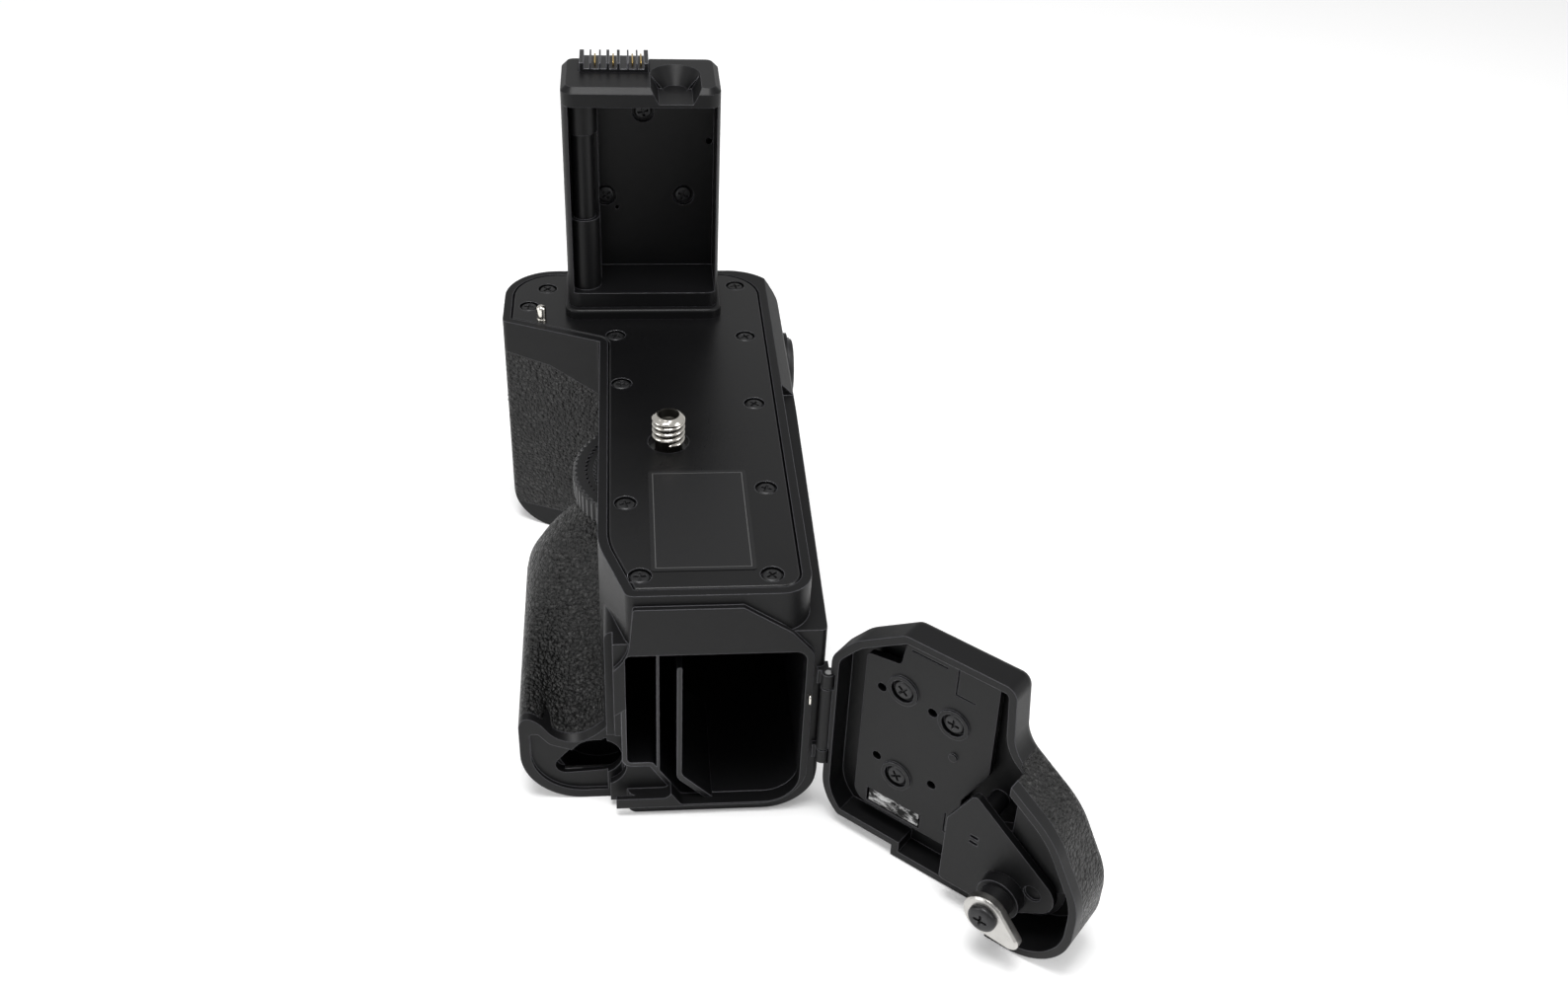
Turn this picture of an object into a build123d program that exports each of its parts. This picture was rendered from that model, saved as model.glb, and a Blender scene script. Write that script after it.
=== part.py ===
from build123d import *
import os
from math import cos, radians, sin, sqrt

os.makedirs("parts", exist_ok=True)

# Frame: +X points to the battery door end, -Y to the lens side, +Z to the camera.
# The origin is the tripod screw's axis in the plane of the deck. Lengths are millimetres.

# Overall sizes of the body
near_x = 45.7
far_x = -68.3
front_y = -13.25
lobe_front_y = -33.8
deck_rear_y = 23.3
rear_y = 26.0
body_height = 52.0
low = -body_height
near_front_y = -8.3
near_round_x = 31.0
diagonal_front_x = -46.2
diagonal_inner_x = -37.4
far_round = 11.0
near_rear_round = 5.5
rear_bottom_round = 10.0
lobe_bottom_round = 8.5
shoulder_drop = 2.7
shoulder_near_drop = 8.5
shoulder_start_x = -20.0

# Walls and clearances
wall = 1.8
floor_wall = 1.6
deck_wall = 2.2
slip = 0.3
seat = 0.15
run = 0.05
fine = 0.02
cut_over = 1.0
post_r = 1.7
post_high = 6.5

# Deck plate
deck_rim = 1.7
deck_gap = 0.2
deck_plate_thick = 2.0
deck_hole_r = 3.9

# Small cross head screws
head_r = 1.8
head_thick = 0.8
shank_r = 0.95
cross_long = 2.3
cross_wide = 0.5
cross_deep = 0.45

# Battery bay
bay_rear_y = 22.6
bay_front_y = -8.8
bay_top_z = -12.4
bay_bottom_z = low + 2.6
bay_left_floor_z = low + 11.0
bay_slant_y = -4.2
bay_slant_foot_y = 1.0
bay_inner_x = -46.0
contact_z = (bay_top_z + bay_bottom_z) / 2
liner_wall = 0.9
bay_corner = 6.5
inner_flange_y = -10.9
flange_low_z = low + 18.0
pocket_wall = 1.5

# Boards and their posts
board_post_x = -54.4
board_post_places = [(-26.0, low + 14.0), (-26.0, -20.0)]

# Bottom cover and the lower tripod socket
cover_corners = [(-58.0, -11.2, 4.0), (38.0, -11.2, 4.0), (38.0, 15.0, 4.0), (-58.0, 15.0, 4.0)]
cover_x0 = -58.0
cover_thick = 1.5
cover_screw_places = [(31.0, -8.0), (-31.0, -8.0), (-54.5, -6.0), (-54.5, 11.5)]
socket_y = -6.2
socket_r = 4.0
socket_deep = 5.7

# Rear pad
pad_corners = [(-40.0, -12.5, 6.0), (38.0, -15.5, 5.0), (38.0, low + 11.5, 5.0), (-40.0, low + 11.5, 8.0)]
pad_seat = 0.6
pad_proud = 0.2

# Attachment wheel and tripod screw
thread_r = 3.175
thread_stand = 6.2
screw_neck_r = 2.7
wheel_r = 18.3
wheel_top_z = -6.0
wheel_thick = 4.4
wheel_disc_r = 14.3
wheel_groove_r = 16.0
wheel_flutes = 60
flute_r = 0.5
bush_r = 5.0
screw_head_r = 5.5
screw_head_thick = 0.6

# Battery plug
plug_front_x = -48.0
plug_back_x = -65.5
plug_front_y = -19.8
plug_rear_y = 11.9
plug_top_z = 50.6
plug_cap_thick = 3.8
plug_corner = 2.6
trough_bottom_z = 5.5
trough_rear_y = 11.2
trough_floor_x = -61.0
trough_front_y = -18.5
trough_split_y = -12.8
column_back_x = -55.0
column_x = -52.6
column_y = -15.9
column_r = 3.1
column_waist_r = 2.3
lower_boss_top = 21.5
upper_boss_bottom = 40.2
collar_height = 2.2
collar_out = 0.75
plug_screw_places = [(-11.6, 22.0), (4.9, 22.0), (-3.5, 40.7)]
cup_x = -56.3
cup_y = 2.95
cup_r = 5.1
cup_floor_r = 2.4
cup_depth = 3.3
notch_half_top = 5.1
notch_half_low = 3.4
notch_depth = 3.1
comb_front_x = -57.2
comb_back_x = -64.6
comb_y0 = -16.1
comb_y1 = -2.3
comb_base = 0.6
comb_root = 1.6
comb_tip_z = 52.4
comb_teeth = [
    (-15.65, 0.9), (-13.9, 0.35), (-12.0, 0.35), (-10.4, 0.6),
    (-8.3, 0.6), (-6.4, 0.35), (-4.6, 0.35), (-2.75, 0.9),
]
contact_blades = [-13.0, -9.35, -5.5, -3.8]

# Locating pin
pin_x = -46.4
pin_y = -25.5
pin_r = 1.0
pin_root_r = 0.7
pin_stand = 3.6

# Label
label_x0, label_x1 = 9.8, 39.2
label_y0, label_y1 = -4.1, 14.0
label_thick = 0.12

# Palm lobe beside the battery door
palm_end_x = 41.5
palm_nose_x = -16.0
palm_front_y = -28.2
palm_round = 11.5
palm_inner_y = -6.0
palm_nose_round = 5.0
palm_end_top = [
    (palm_inner_y, low + 25.0), (-10.6, low + 20.5), (-14.0, low + 16.4), (-18.3, low + 14.4),
    (-22.2, low + 16.1), (-24.6, low + 19.3), (-26.6, low + 20.4), (palm_front_y, low + 18.4),
]
palm_full_top = [
    (palm_inner_y, low + 42.0), (-10.6, low + 39.4), (-14.0, low + 36.8), (-18.3, low + 33.4),
    (-22.2, low + 30.2), (-24.6, low + 27.7), (-26.6, low + 25.0), (palm_front_y, low + 21.4),
]
palm_nose_top = [
    (palm_inner_y, low + 35.0), (-8.5, low + 32.4), (-10.6, low + 29.8), (-12.6, low + 27.0),
    (-14.2, low + 24.0), (-15.2, low + 21.2), (-15.9, low + 18.4), (-16.2, low + 15.2),
]
palm_stations = [
    (palm_end_x, 0.0, 0.0), (-1.0, 0.95, 0.0), (-5.0, 1.0, 0.03), (-8.0, 1.0, 0.12),
    (-11.0, 1.0, 0.28), (-13.5, 1.0, 0.52), (-15.2, 1.0, 0.78), (palm_nose_x, 1.0, 1.0),
]
palm_recess = 0.8
trough_hollow_inset = 4.2
trough_hollow_rise = 3.5
palm_rim = 1.9
flange_y = -12.4
flange_top_z = -10.5
flange_start_x = 30.0
flange_x = 42.5
skin = 0.7
leather_x0 = -56.0
leather_rear_y = front_y + 0.4
leather_bottom_z = low + 5.0
leather_end = 1.7

# Battery door, laid out as it stands when shut
door_face_x = 47.0
door_outer_x = 53.0
door_wall = 1.5
door_floor_x = 51.4
door_top_z = -0.3
door_hinge_y = 25.8
door_neck_y = -10.2
door_shoulder_z = low + 30.5
door_neck_z = (door_top_z + door_shoulder_z) / 2 - 2.1
door_peak_y = 12.0
door_bottom_z = low + 0.2
door_notch_y = 10.0
door_notch_rise = 2.4
door_edge_round = 1.8
palm_back_x = 41.8
trough_wall_x = 45.9
plate_x = 48.8
plate_thick = 1.4
plate_head_r = 1.9
plate_boss_r = 2.8
plate_corners = [
    (19.9, -9.6, 1.0), (13.2, -8.6, 1.0), (12.4, -2.6, 1.5), (-5.4, -2.6, 1.5),
    (-5.8, low + 29.2, 1.5), (-1.5, low + 20.5, 1.0), (-1.5, low + 7.5, 1.0), (19.9, low + 7.5, 3.0),
]
plate_screw_places = [(12.2, -13.9), (2.0, -15.6), (11.6, low + 18.0)]
plate_hole_places = [(16.4, -15.6), (6.2, -15.5), (16.0, low + 20.2), (4.6, low + 20.2)]
leaf_slot_z = low + 9.8
leaf_x = plate_x + 0.2
leaf_thick = 0.3
leaf_y0, leaf_y1 = 6.3, 16.8
slit_wide = 0.3
slit_deep = 0.4
rim_stand = 1.0
rim_inset = 1.9
hinge_x = 47.2
hinge_y = 26.4
hinge_pin_r = 0.6
knuckle_r = 1.25
clip_y = 23.5
clip_z = low + 28.7
clip_x = 47.8
clip_half = 0.8
clip_r = 0.3
hinge_top_z = -16.8
hinge_bottom_z = low + 14.0
body_knuckle = 3.0
door_open = 138.5

# Door latch, turning on an axis along X
latch_y = -14.0
latch_z = low + 10.5
latch_stem_r = 3.0
latch_boss_r = 4.0
boss_x = 41.9
bracket_x = 44.2
bracket_thick = 1.4
bracket_corners = [
    (-1.5, low + 20.2, 1.0), (-6.0, low + 28.6, 1.0), (-25.7, low + 13.4, 4.0),
    (-14.0, low + 5.0, 1.0), (-1.5, low + 5.0, 1.0),
]
bracket_post_places = [(-5.0, low + 10.0), (-7.5, low + 23.0)]
bracket_rivet = (-19.0, low + 13.5)
chamber_x = 33.5
chamber_y = -9.2
cam_r = 4.0
cam_tip_r = 1.7
cam_reach = 5.8
cam_swing = 0.8
cam_angle = -153.0
cam_thick = 1.7
cam_wall = 0.9
catch_thick = 0.7
knob_r = 7.0
knob_sink = 2.0
knob_bar = 1.2

# Controls of the far lobe
shutter_y = -19.0
shutter_z = low + 25.0
shutter_r = 4.9
shutter_stem_r = 2.0
switch_inner_r = 5.2
switch_r = 8.2
switch_proud = 1.0
shutter_proud = 1.9
dial_r = 9.2
dial_thick = 4.0
dial_x = -59.8
dial_proud = 1.1
dial_axle_r = 1.0
dial_flutes = 40
dial_slot_deep = 3.5
dial_slot_half = 8.1
rear_dial_z = low + 18.0
lever_x = -51.0
lever_z = -15.0
lever_r = 6.3
lever_inner_r = 3.7
bezel_r = 7.6
bezel_stand = 1.6
button_r = 3.0
focus_button_r = 3.4
flange_thick = 0.7
end_button_y = 1.0
end_button_z = shutter_z + 3.0
rear_button_x = -52.6
rear_button_z = lever_z - 13.0

deck_screw_places = [
    (40.2, -6.0), (40.5, 16.5), (15.4, 17.4), (19.4, -8.3), (-13.1, 17.3), (-20.9, -8.8),
    (-39.2, 17.3), (-39.9, -9.9), (-61.2, 16.5), (-60.2, -24.7), (-52.5, -28.4),
]


def rounded_outline(*corners):
    """Fill the closed outline whose corners are (x, y, radius)."""
    with BuildLine() as outline:
        FilletPolyline(*[(x, y) for x, y, r in corners], radius=[r for x, y, r in corners], close=True)
    make_face(outline.edges())


def block(x0, x1, y0, y1, z0, z1, mode=Mode.ADD):
    """A box given by its corners."""
    with Locations(((x0 + x1) / 2, (y0 + y1) / 2, (z0 + z1) / 2)):
        Box(abs(x1 - x0), abs(y1 - y0), abs(z1 - z0), mode=mode)


def rod(plane, x, y, radius, start, length, mode=Mode.ADD):
    """A cylinder that stands on a plane, from start along its normal."""
    with BuildSketch(plane.offset(start)) as disc:
        with Locations((x, y)):
            Circle(radius)
    extrude(disc.sketch, amount=length, mode=mode)


def slab(plane, x0, x1, y0, y1, z0, z1, mode=Mode.ADD):
    """A box laid out on a plane: x along its normal, y and z in it."""
    with BuildSketch(plane.offset(x0)) as side:
        with Locations(((y0 + y1) / 2, (z0 + z1) / 2)):
            Rectangle(y1 - y0, z1 - z0)
    extrude(side.sketch, amount=x1 - x0, mode=mode)


def cross_screw(plane, places, seat_z, shank_long, radius=head_r, thick=head_thick):
    """Cross head screws with their heads standing on seat_z of a plane."""
    with BuildSketch(plane.offset(seat_z)) as heads:
        with Locations(places):
            Circle(radius)
    extrude(heads.sketch, amount=thick)
    with BuildSketch(plane.offset(seat_z)) as shanks:
        with Locations(places):
            Circle(shank_r)
    extrude(shanks.sketch, amount=-shank_long)
    with BuildSketch(plane.offset(seat_z + thick)) as crosses:
        with Locations(places):
            Rectangle(cross_long, cross_wide)
            Rectangle(cross_wide, cross_long)
    extrude(crosses.sketch, amount=-cross_deep, mode=Mode.SUBTRACT)


def deck_corners(rear, rear_near_round):
    """Corners of the plan outline of the deck, or of the body below it."""
    return [
        (near_x, rear, rear_near_round),
        (far_x, rear, far_round),
        (far_x, lobe_front_y, far_round),
        (diagonal_front_x, lobe_front_y, 1.5),
        (diagonal_inner_x, front_y, 1.2),
        (near_round_x, front_y, 20.0),
        (near_x, near_front_y, 1.6),
    ]


def door_corners():
    """Corners of the shut door's outline in Y and Z."""
    return [
        (door_hinge_y, door_bottom_z, 10.5),
        (door_hinge_y, -12.2, 5.0),
        (21.2, -6.6, 9.0),
        (door_peak_y, door_top_z, 2.4),
        (-9.0, door_top_z, 2.4),
        (door_neck_y, door_neck_z, 7.0),
        (-21.6, door_shoulder_z, 17.0),
        (palm_front_y, low + 18.4, 13.0),
        (palm_front_y, door_bottom_z, palm_round),
    ]


def blend(first, second, share):
    """Point by point mix of two lists of (y, z) points."""
    return [(a + (c - a) * share, b + (d - b) * share) for (a, b), (c, d) in zip(first, second)]


def palm_section(share, nose):
    """A cross-section of the palm lobe: from the door end to its full height, then to its nose."""
    top = blend(blend(palm_end_top, palm_full_top, share), palm_nose_top, nose)
    front = top[-1][0]
    bottom_round = palm_round + (palm_nose_round - palm_round) * nose
    middle = bottom_round * (1 - sqrt(0.5))
    with BuildLine() as outline:
        curve = Spline(*top)
        side = Line(curve @ 1, (front, low + bottom_round))
        corner = ThreePointArc(
            side @ 1,
            (front + middle, low + middle),
            (front + bottom_round, low),
        )
        under = Line(corner @ 1, (palm_inner_y, low))
        Line(under @ 1, curve @ 0)
    make_face(outline.edges())


# Planes that carry the sketches
section_plane = Plane.YZ
end_plane = Plane.YZ
end_back_plane = Plane(origin=(0, 0, 0), x_dir=(0, -1, 0), z_dir=(-1, 0, 0))
rear_plane = Plane(origin=(0, 0, 0), x_dir=(1, 0, 0), z_dir=(0, -1, 0))
bottom_plane = Plane(origin=(0, 0, 0), x_dir=(1, 0, 0), z_dir=(0, 0, -1))

# The open door: its shut X direction and shut Y direction, turned about the hinge
door_turn = radians(door_open)
door_out = Vector(cos(door_turn), sin(door_turn), 0)
door_along = Vector(-sin(door_turn), cos(door_turn), 0)
door_origin = Vector(hinge_x, hinge_y, 0) - door_out * hinge_x - door_along * hinge_y
door_plane = Plane(origin=door_origin, x_dir=door_along, z_dir=door_out)
door_in_plane = Plane(origin=door_origin, x_dir=door_along * -1, z_dir=door_out * -1)
door_axis = Axis(origin=door_origin, direction=door_out)

# Levels that follow from the sizes above
floor_z = low + floor_wall
deck_under_z = -deck_plate_thick - deck_wall
cavity_x0 = far_x + wall
cavity_x1 = near_x - wall
cap_z = plug_top_z - plug_cap_thick
switch_pocket_x = far_x + 2.6
switch_outer_x = far_x - switch_proud
end_boss_x = far_x + 6.1
front_dial_y = lobe_front_y - dial_proud + dial_r
rear_dial_y = rear_y + dial_proud - dial_r
dial_slot_x = dial_thick / 2 + slip
front_axle_x = far_x + 3.0
rear_axle_x = far_x + 1.2
lever_outer_y = rear_y + bezel_stand + 1.3
flange_in_y = rear_y - wall - slip
cam_wall_x = palm_end_x - palm_recess - cam_wall
cam_x = cam_wall_x - catch_thick - 0.2 - cam_thick
cam_tip_y = latch_y + cam_reach * cos(radians(cam_angle))
cam_tip_z = latch_z + cam_reach * sin(radians(cam_angle))
knob_floor_x = door_outer_x - knob_sink - slip
bush_bottom_z = deck_under_z - 1.2
screw_bottom_z = wheel_top_z - wheel_thick - screw_head_thick
door_knuckle_z = hinge_bottom_z + body_knuckle + slip
door_knuckle_high = hinge_top_z - hinge_bottom_z - 2 * (body_knuckle + slip)
plug_base = [
    (plug_front_x, plug_rear_y, plug_corner),
    (plug_back_x, plug_rear_y, plug_corner),
    (plug_back_x, plug_front_y, plug_corner),
    (plug_front_x, plug_front_y, plug_corner),
]
bay_corners = [
    (bay_rear_y, bay_top_z, 2.0),
    (bay_rear_y, bay_bottom_z, bay_corner),
    (bay_slant_foot_y, bay_bottom_z, 1.0),
    (bay_slant_y, bay_left_floor_z, 1.0),
    (bay_front_y, bay_left_floor_z, 1.0),
    (bay_front_y, bay_top_z, 1.0),
]

# Outer form of the whole body, before any piece is cut from it
with BuildPart() as body_form:
    with BuildSketch(section_plane.offset(far_x)):
        rounded_outline(
            (front_y, 0, 0),
            (deck_rear_y, 0, 0),
            (rear_y, -shoulder_drop, 1.2),
            (rear_y, low, rear_bottom_round),
            (front_y, low, 0),
        )
    extrude(amount=near_x - far_x)
    with BuildSketch(section_plane.offset(far_x)):
        rounded_outline(
            (lobe_front_y, 0, 0),
            (palm_inner_y, 0, 0),
            (palm_inner_y, low, 0),
            (lobe_front_y, low, lobe_bottom_round),
        )
    extrude(amount=diagonal_inner_x - far_x)
    with BuildSketch():
        rounded_outline(*deck_corners(rear_y, 1.0))
    extrude(amount=low, mode=Mode.INTERSECT)
    # The palm lobe with its finger trough
    for x, share, nose in palm_stations:
        with BuildSketch(section_plane.offset(x)):
            palm_section(share, nose)
    loft(ruled=True)

# The shoulder behind the deck falls towards the door
with BuildPart() as shoulder_cut:
    with BuildSketch(Plane.XZ.offset(-rear_y - cut_over)):
        with BuildLine():
            Polyline(
                (shoulder_start_x, 0.5),
                (near_x + cut_over, 0.5),
                (near_x + cut_over, -shoulder_near_drop),
                (shoulder_start_x, -shoulder_drop),
                close=True,
            )
        make_face()
    extrude(amount=rear_y - near_front_y)
    with BuildSketch(Plane.XY.offset(cut_over)):
        rounded_outline(*deck_corners(deck_rear_y, near_rear_round))
    extrude(amount=low, mode=Mode.SUBTRACT)

# Front leatherette: the skin of both lobes and of the valley between them
with BuildPart() as leather_region:
    with BuildSketch(section_plane.offset(leather_x0)):
        with BuildLine():
            Polyline(
                (lobe_front_y - cut_over, -7.2),
                (-24.0, -8.6),
                (leather_rear_y, -13.6),
                (leather_rear_y, leather_bottom_z),
                (lobe_front_y - cut_over, leather_bottom_z),
                close=True,
            )
        make_face()
    extrude(amount=palm_end_x - leather_end - leather_x0)
    rod(
        Plane.XY, 0, 0, wheel_r + 1.2,
        wheel_top_z - wheel_thick - 0.9, wheel_thick + 1.8, mode=Mode.SUBTRACT,
    )

with BuildPart() as front_leather:
    add(body_form.part)
    add(leather_region.part, mode=Mode.INTERSECT)
    add(body_form.part.moved(Location((-skin, skin, -skin))), mode=Mode.SUBTRACT)

# Hollow of the body, kept one wall inside its plan outline
with BuildPart() as main_hollow:
    with BuildSketch(section_plane.offset(cavity_x0)):
        rounded_outline(
            (front_y + wall, deck_under_z, 0.2),
            (rear_y - wall - 1.2, deck_under_z, 1.0),
            (rear_y - wall, deck_under_z - 6.0, 1.0),
            (rear_y - wall, floor_z, rear_bottom_round - wall),
            (front_y + wall, floor_z, 0.2),
        )
    extrude(amount=cavity_x1 - cavity_x0)
    block(cavity_x0, diagonal_inner_x, lobe_front_y, front_y + wall + 1.0, floor_z + 5.0, deck_under_z)
    with BuildSketch():
        rounded_outline(*deck_corners(rear_y, 1.0))
        offset(amount=-wall)
    extrude(amount=low, mode=Mode.INTERSECT)
    # Solid left below the falling shoulder and behind the deck's rounded corner
    block(
        shoulder_start_x, cavity_x1, deck_rear_y - wall, rear_y,
        -shoulder_near_drop - wall, deck_under_z, mode=Mode.SUBTRACT,
    )
    block(
        near_x - near_rear_round, cavity_x1, deck_rear_y - near_rear_round, rear_y,
        -shoulder_near_drop - wall, deck_under_z, mode=Mode.SUBTRACT,
    )

# Room of the battery bay's liner
with BuildPart() as liner_form:
    with BuildSketch(section_plane.offset(bay_inner_x)):
        rounded_outline(*bay_corners)
        offset(amount=liner_wall)
    extrude(amount=cavity_x1 - bay_inner_x)

# Main housing
with BuildPart() as main_housing:
    add(body_form.part)
    add(shoulder_cut.part, mode=Mode.SUBTRACT)
    add(front_leather.part, mode=Mode.SUBTRACT)
    # Flange that carries the end wall past the bay to the palm lobe
    with BuildSketch(end_plane.offset(flange_start_x)):
        rounded_outline(
            (palm_inner_y, flange_top_z, 0),
            (flange_y, flange_top_z, 1.5),
            (flange_y, flange_low_z - 1.0, 0),
            (palm_inner_y, flange_low_z - 1.0, 0),
        )
    extrude(amount=flange_x - flange_start_x)
    block(flange_x, near_x, inner_flange_y, near_front_y + 0.6, flange_low_z, flange_top_z)
    # Low rim round the bay, which the shut door closes over
    with BuildSketch(end_plane.offset(near_x)):
        rounded_outline(*door_corners())
        offset(amount=-rim_inset)
        with Locations((inner_flange_y - 30.0, -25.0)):
            Rectangle(60.0, 70.0, mode=Mode.SUBTRACT)
    extrude(amount=rim_stand)
    # Seat of the deck plate
    with BuildSketch():
        rounded_outline(*deck_corners(deck_rear_y, near_rear_round))
        offset(amount=-deck_rim)
    extrude(amount=-deck_plate_thick, mode=Mode.SUBTRACT)
    add(main_hollow.part, mode=Mode.SUBTRACT)
    # Hollow under the finger trough
    block(
        6.0, 33.0, palm_front_y + trough_hollow_inset, front_y - wall,
        floor_z + trough_hollow_rise, latch_z, mode=Mode.SUBTRACT,
    )
    # Wall behind the low corner of the bay, with room for the boss of the door's latch
    block(
        cavity_x1 - pocket_wall, cavity_x1,
        front_y + wall - 0.5, bay_slant_foot_y,
        floor_z - 0.1, bay_left_floor_z,
    )
    rod(
        end_plane, latch_y, latch_z, latch_boss_r + cam_swing + slip,
        cavity_x1 - pocket_wall, pocket_wall, mode=Mode.SUBTRACT,
    )
    add(liner_form.part, mode=Mode.SUBTRACT)
    # Opening of the bay in the end wall
    with BuildSketch(end_plane.offset(cavity_x1 - cut_over)):
        rounded_outline(*bay_corners)
    extrude(amount=wall + rim_stand + 2 * cut_over, mode=Mode.SUBTRACT)
    # Pocket that takes the latch bracket of the shut door
    with BuildSketch(end_plane.offset(cavity_x1)):
        rounded_outline(*bracket_corners)
        offset(amount=0.6)
    extrude(amount=wall + rim_stand + cut_over, mode=Mode.SUBTRACT)
    # Recess in the end of the palm lobe
    with BuildSketch(section_plane.offset(palm_end_x - palm_recess)):
        rounded_outline(
            (palm_front_y + palm_rim, low + 16.6, 0.6),
            (palm_front_y + palm_rim, low + palm_rim, palm_round - palm_rim),
            (flange_y, low + palm_rim, 0.3),
            (flange_y, low + 15.6, 0.3),
            (-14.6, low + 13.8, 1.5),
            (-18.3, low + 12.2, 2.5),
            (-22.8, low + 14.0, 1.5),
            (-24.8, low + 16.6, 0.6),
        )
    extrude(amount=palm_recess + cut_over, mode=Mode.SUBTRACT)
    # Chamber of the latch cam, and its shaped opening
    with BuildSketch(end_plane.offset(chamber_x)):
        with Locations((latch_y, latch_z)):
            Circle(cam_reach + cam_tip_r + slip)
        with Locations((latch_y, latch_z + cam_r + 10.4)):
            Rectangle(30.0, 20.0, mode=Mode.SUBTRACT)
        with Locations((palm_inner_y, latch_z)):
            Rectangle(2 * (palm_inner_y - chamber_y), 20.0, mode=Mode.SUBTRACT)
    extrude(amount=cam_wall_x - chamber_x, mode=Mode.SUBTRACT)
    with BuildSketch(end_plane.offset(cam_wall_x - cut_over)):
        with Locations((latch_y, latch_z), (latch_y - cam_swing, latch_z)):
            Circle(cam_r + slip)
        with Locations((cam_tip_y, cam_tip_z), (cam_tip_y - cam_swing, cam_tip_z)):
            Circle(cam_tip_r + slip)
        make_hull()
    extrude(amount=cam_wall + cut_over * 2, mode=Mode.SUBTRACT)
    # Hole of the screw bearing, and slot of the wheel
    rod(Plane.XY, 0, 0, bush_r, deck_under_z - cut_over, deck_wall + cut_over * 2, mode=Mode.SUBTRACT)
    rod(Plane.XY, 0, 0, wheel_r + 0.6, wheel_top_z - wheel_thick - 0.5, wheel_thick + 1.0, mode=Mode.SUBTRACT)
    # Opening of the bottom cover
    with BuildSketch(Plane.XY.offset(low - cut_over)):
        rounded_outline(*cover_corners)
    extrude(amount=floor_wall + cut_over + 0.1, mode=Mode.SUBTRACT)
    # Thick ground behind the shutter button and the front dial's axle
    rod(end_plane, shutter_y, shutter_z, 10.2, cavity_x0 - 0.1, end_boss_x - cavity_x0 + 0.1)
    rod(
        end_plane, shutter_y, shutter_z, switch_r + slip,
        far_x - cut_over, switch_pocket_x - far_x + cut_over, mode=Mode.SUBTRACT,
    )
    rod(end_plane, shutter_y, shutter_z, shutter_stem_r + run, far_x, 12.0, mode=Mode.SUBTRACT)
    rod(end_plane, rear_dial_y, rear_dial_z, 3.0, cavity_x0 - 0.1, dial_x - dial_thick / 2 - slip - cavity_x0)
    # Slots and axle seats of both dials
    block(
        dial_x - dial_slot_x, dial_x + dial_slot_x,
        lobe_front_y - cut_over, lobe_front_y + dial_slot_deep,
        shutter_z - dial_slot_half, shutter_z + dial_slot_half, mode=Mode.SUBTRACT,
    )
    block(
        dial_x - dial_slot_x, dial_x + dial_slot_x,
        rear_y - dial_slot_deep, rear_y + cut_over,
        rear_dial_z - dial_slot_half, rear_dial_z + dial_slot_half, mode=Mode.SUBTRACT,
    )
    rod(end_plane, front_dial_y, shutter_z, dial_axle_r + fine, front_axle_x, 6.0, mode=Mode.SUBTRACT)
    rod(end_plane, rear_dial_y, rear_dial_z, dial_axle_r + fine, rear_axle_x, 8.0, mode=Mode.SUBTRACT)
    # Round bezel of the focus lever, with its pocket and button hole
    rod(rear_plane, lever_x, lever_z, bezel_r, -rear_y - bezel_stand, bezel_stand + wall)
    rod(
        rear_plane, lever_x, lever_z, lever_r + slip,
        -rear_y - bezel_stand - cut_over, bezel_stand + cut_over - 0.4, mode=Mode.SUBTRACT,
    )
    rod(
        rear_plane, lever_x, lever_z, focus_button_r + run,
        -rear_y - cut_over, wall + 4.0, mode=Mode.SUBTRACT,
    )
    # Holes of the two custom buttons
    rod(
        rear_plane, rear_button_x, rear_button_z, button_r + run,
        -rear_y - cut_over, wall + 2 * cut_over, mode=Mode.SUBTRACT,
    )
    rod(
        end_plane, end_button_y, end_button_z, button_r + run,
        far_x - cut_over, wall + 2 * cut_over, mode=Mode.SUBTRACT,
    )
    # Shallow seat of the rear pad
    with BuildSketch(rear_plane.offset(-rear_y)):
        rounded_outline(*pad_corners)
    extrude(amount=pad_seat, mode=Mode.SUBTRACT)
    # Holes of the deck screws and of the locating pin
    with BuildSketch(Plane.XY.offset(-deck_plate_thick)):
        with Locations(deck_screw_places):
            Circle(shank_r + fine)
        with Locations((pin_x, pin_y)):
            Circle(pin_root_r + fine)
    extrude(amount=-deck_wall - cut_over, mode=Mode.SUBTRACT)
    # Posts of the control board
    with BuildSketch(end_plane.offset(board_post_x)):
        with Locations(board_post_places):
            Circle(1.6)
    extrude(amount=9.6)
    with BuildSketch(end_plane.offset(board_post_x)):
        with Locations(board_post_places):
            Circle(shank_r + fine)
    extrude(amount=5.0, mode=Mode.SUBTRACT)
    # Posts of the bottom cover's screws
    for x, y in cover_screw_places[:2]:
        rod(Plane.XY, x, y, post_r, floor_z, post_high)
        block(x - 0.6, x + 0.6, front_y + wall - 0.3, y, floor_z, floor_z + post_high)
    for x, y in cover_screw_places[2:]:
        rod(Plane.XY, x, y, post_r, floor_z, post_high)
        block(cover_x0 - 2.0, x, y - 0.6, y + 0.6, floor_z - 0.1, floor_z + post_high)
    for x, y in cover_screw_places:
        rod(Plane.XY, x, y, shank_r + fine, floor_z - 0.2, post_high - 1.0, mode=Mode.SUBTRACT)
    # Body knuckles of the hinge
    for z in (hinge_top_z - body_knuckle, hinge_bottom_z):
        rod(Plane.XY, hinge_x, hinge_y, knuckle_r, z, body_knuckle)
        block(near_x - 1.4, hinge_x - 0.5, hinge_y - knuckle_r - 0.6, hinge_y + 0.2, z, z + body_knuckle)
    rod(
        Plane.XY, hinge_x, hinge_y, hinge_pin_r + fine,
        hinge_bottom_z + 0.6, hinge_top_z - hinge_bottom_z, mode=Mode.SUBTRACT,
    )
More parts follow.
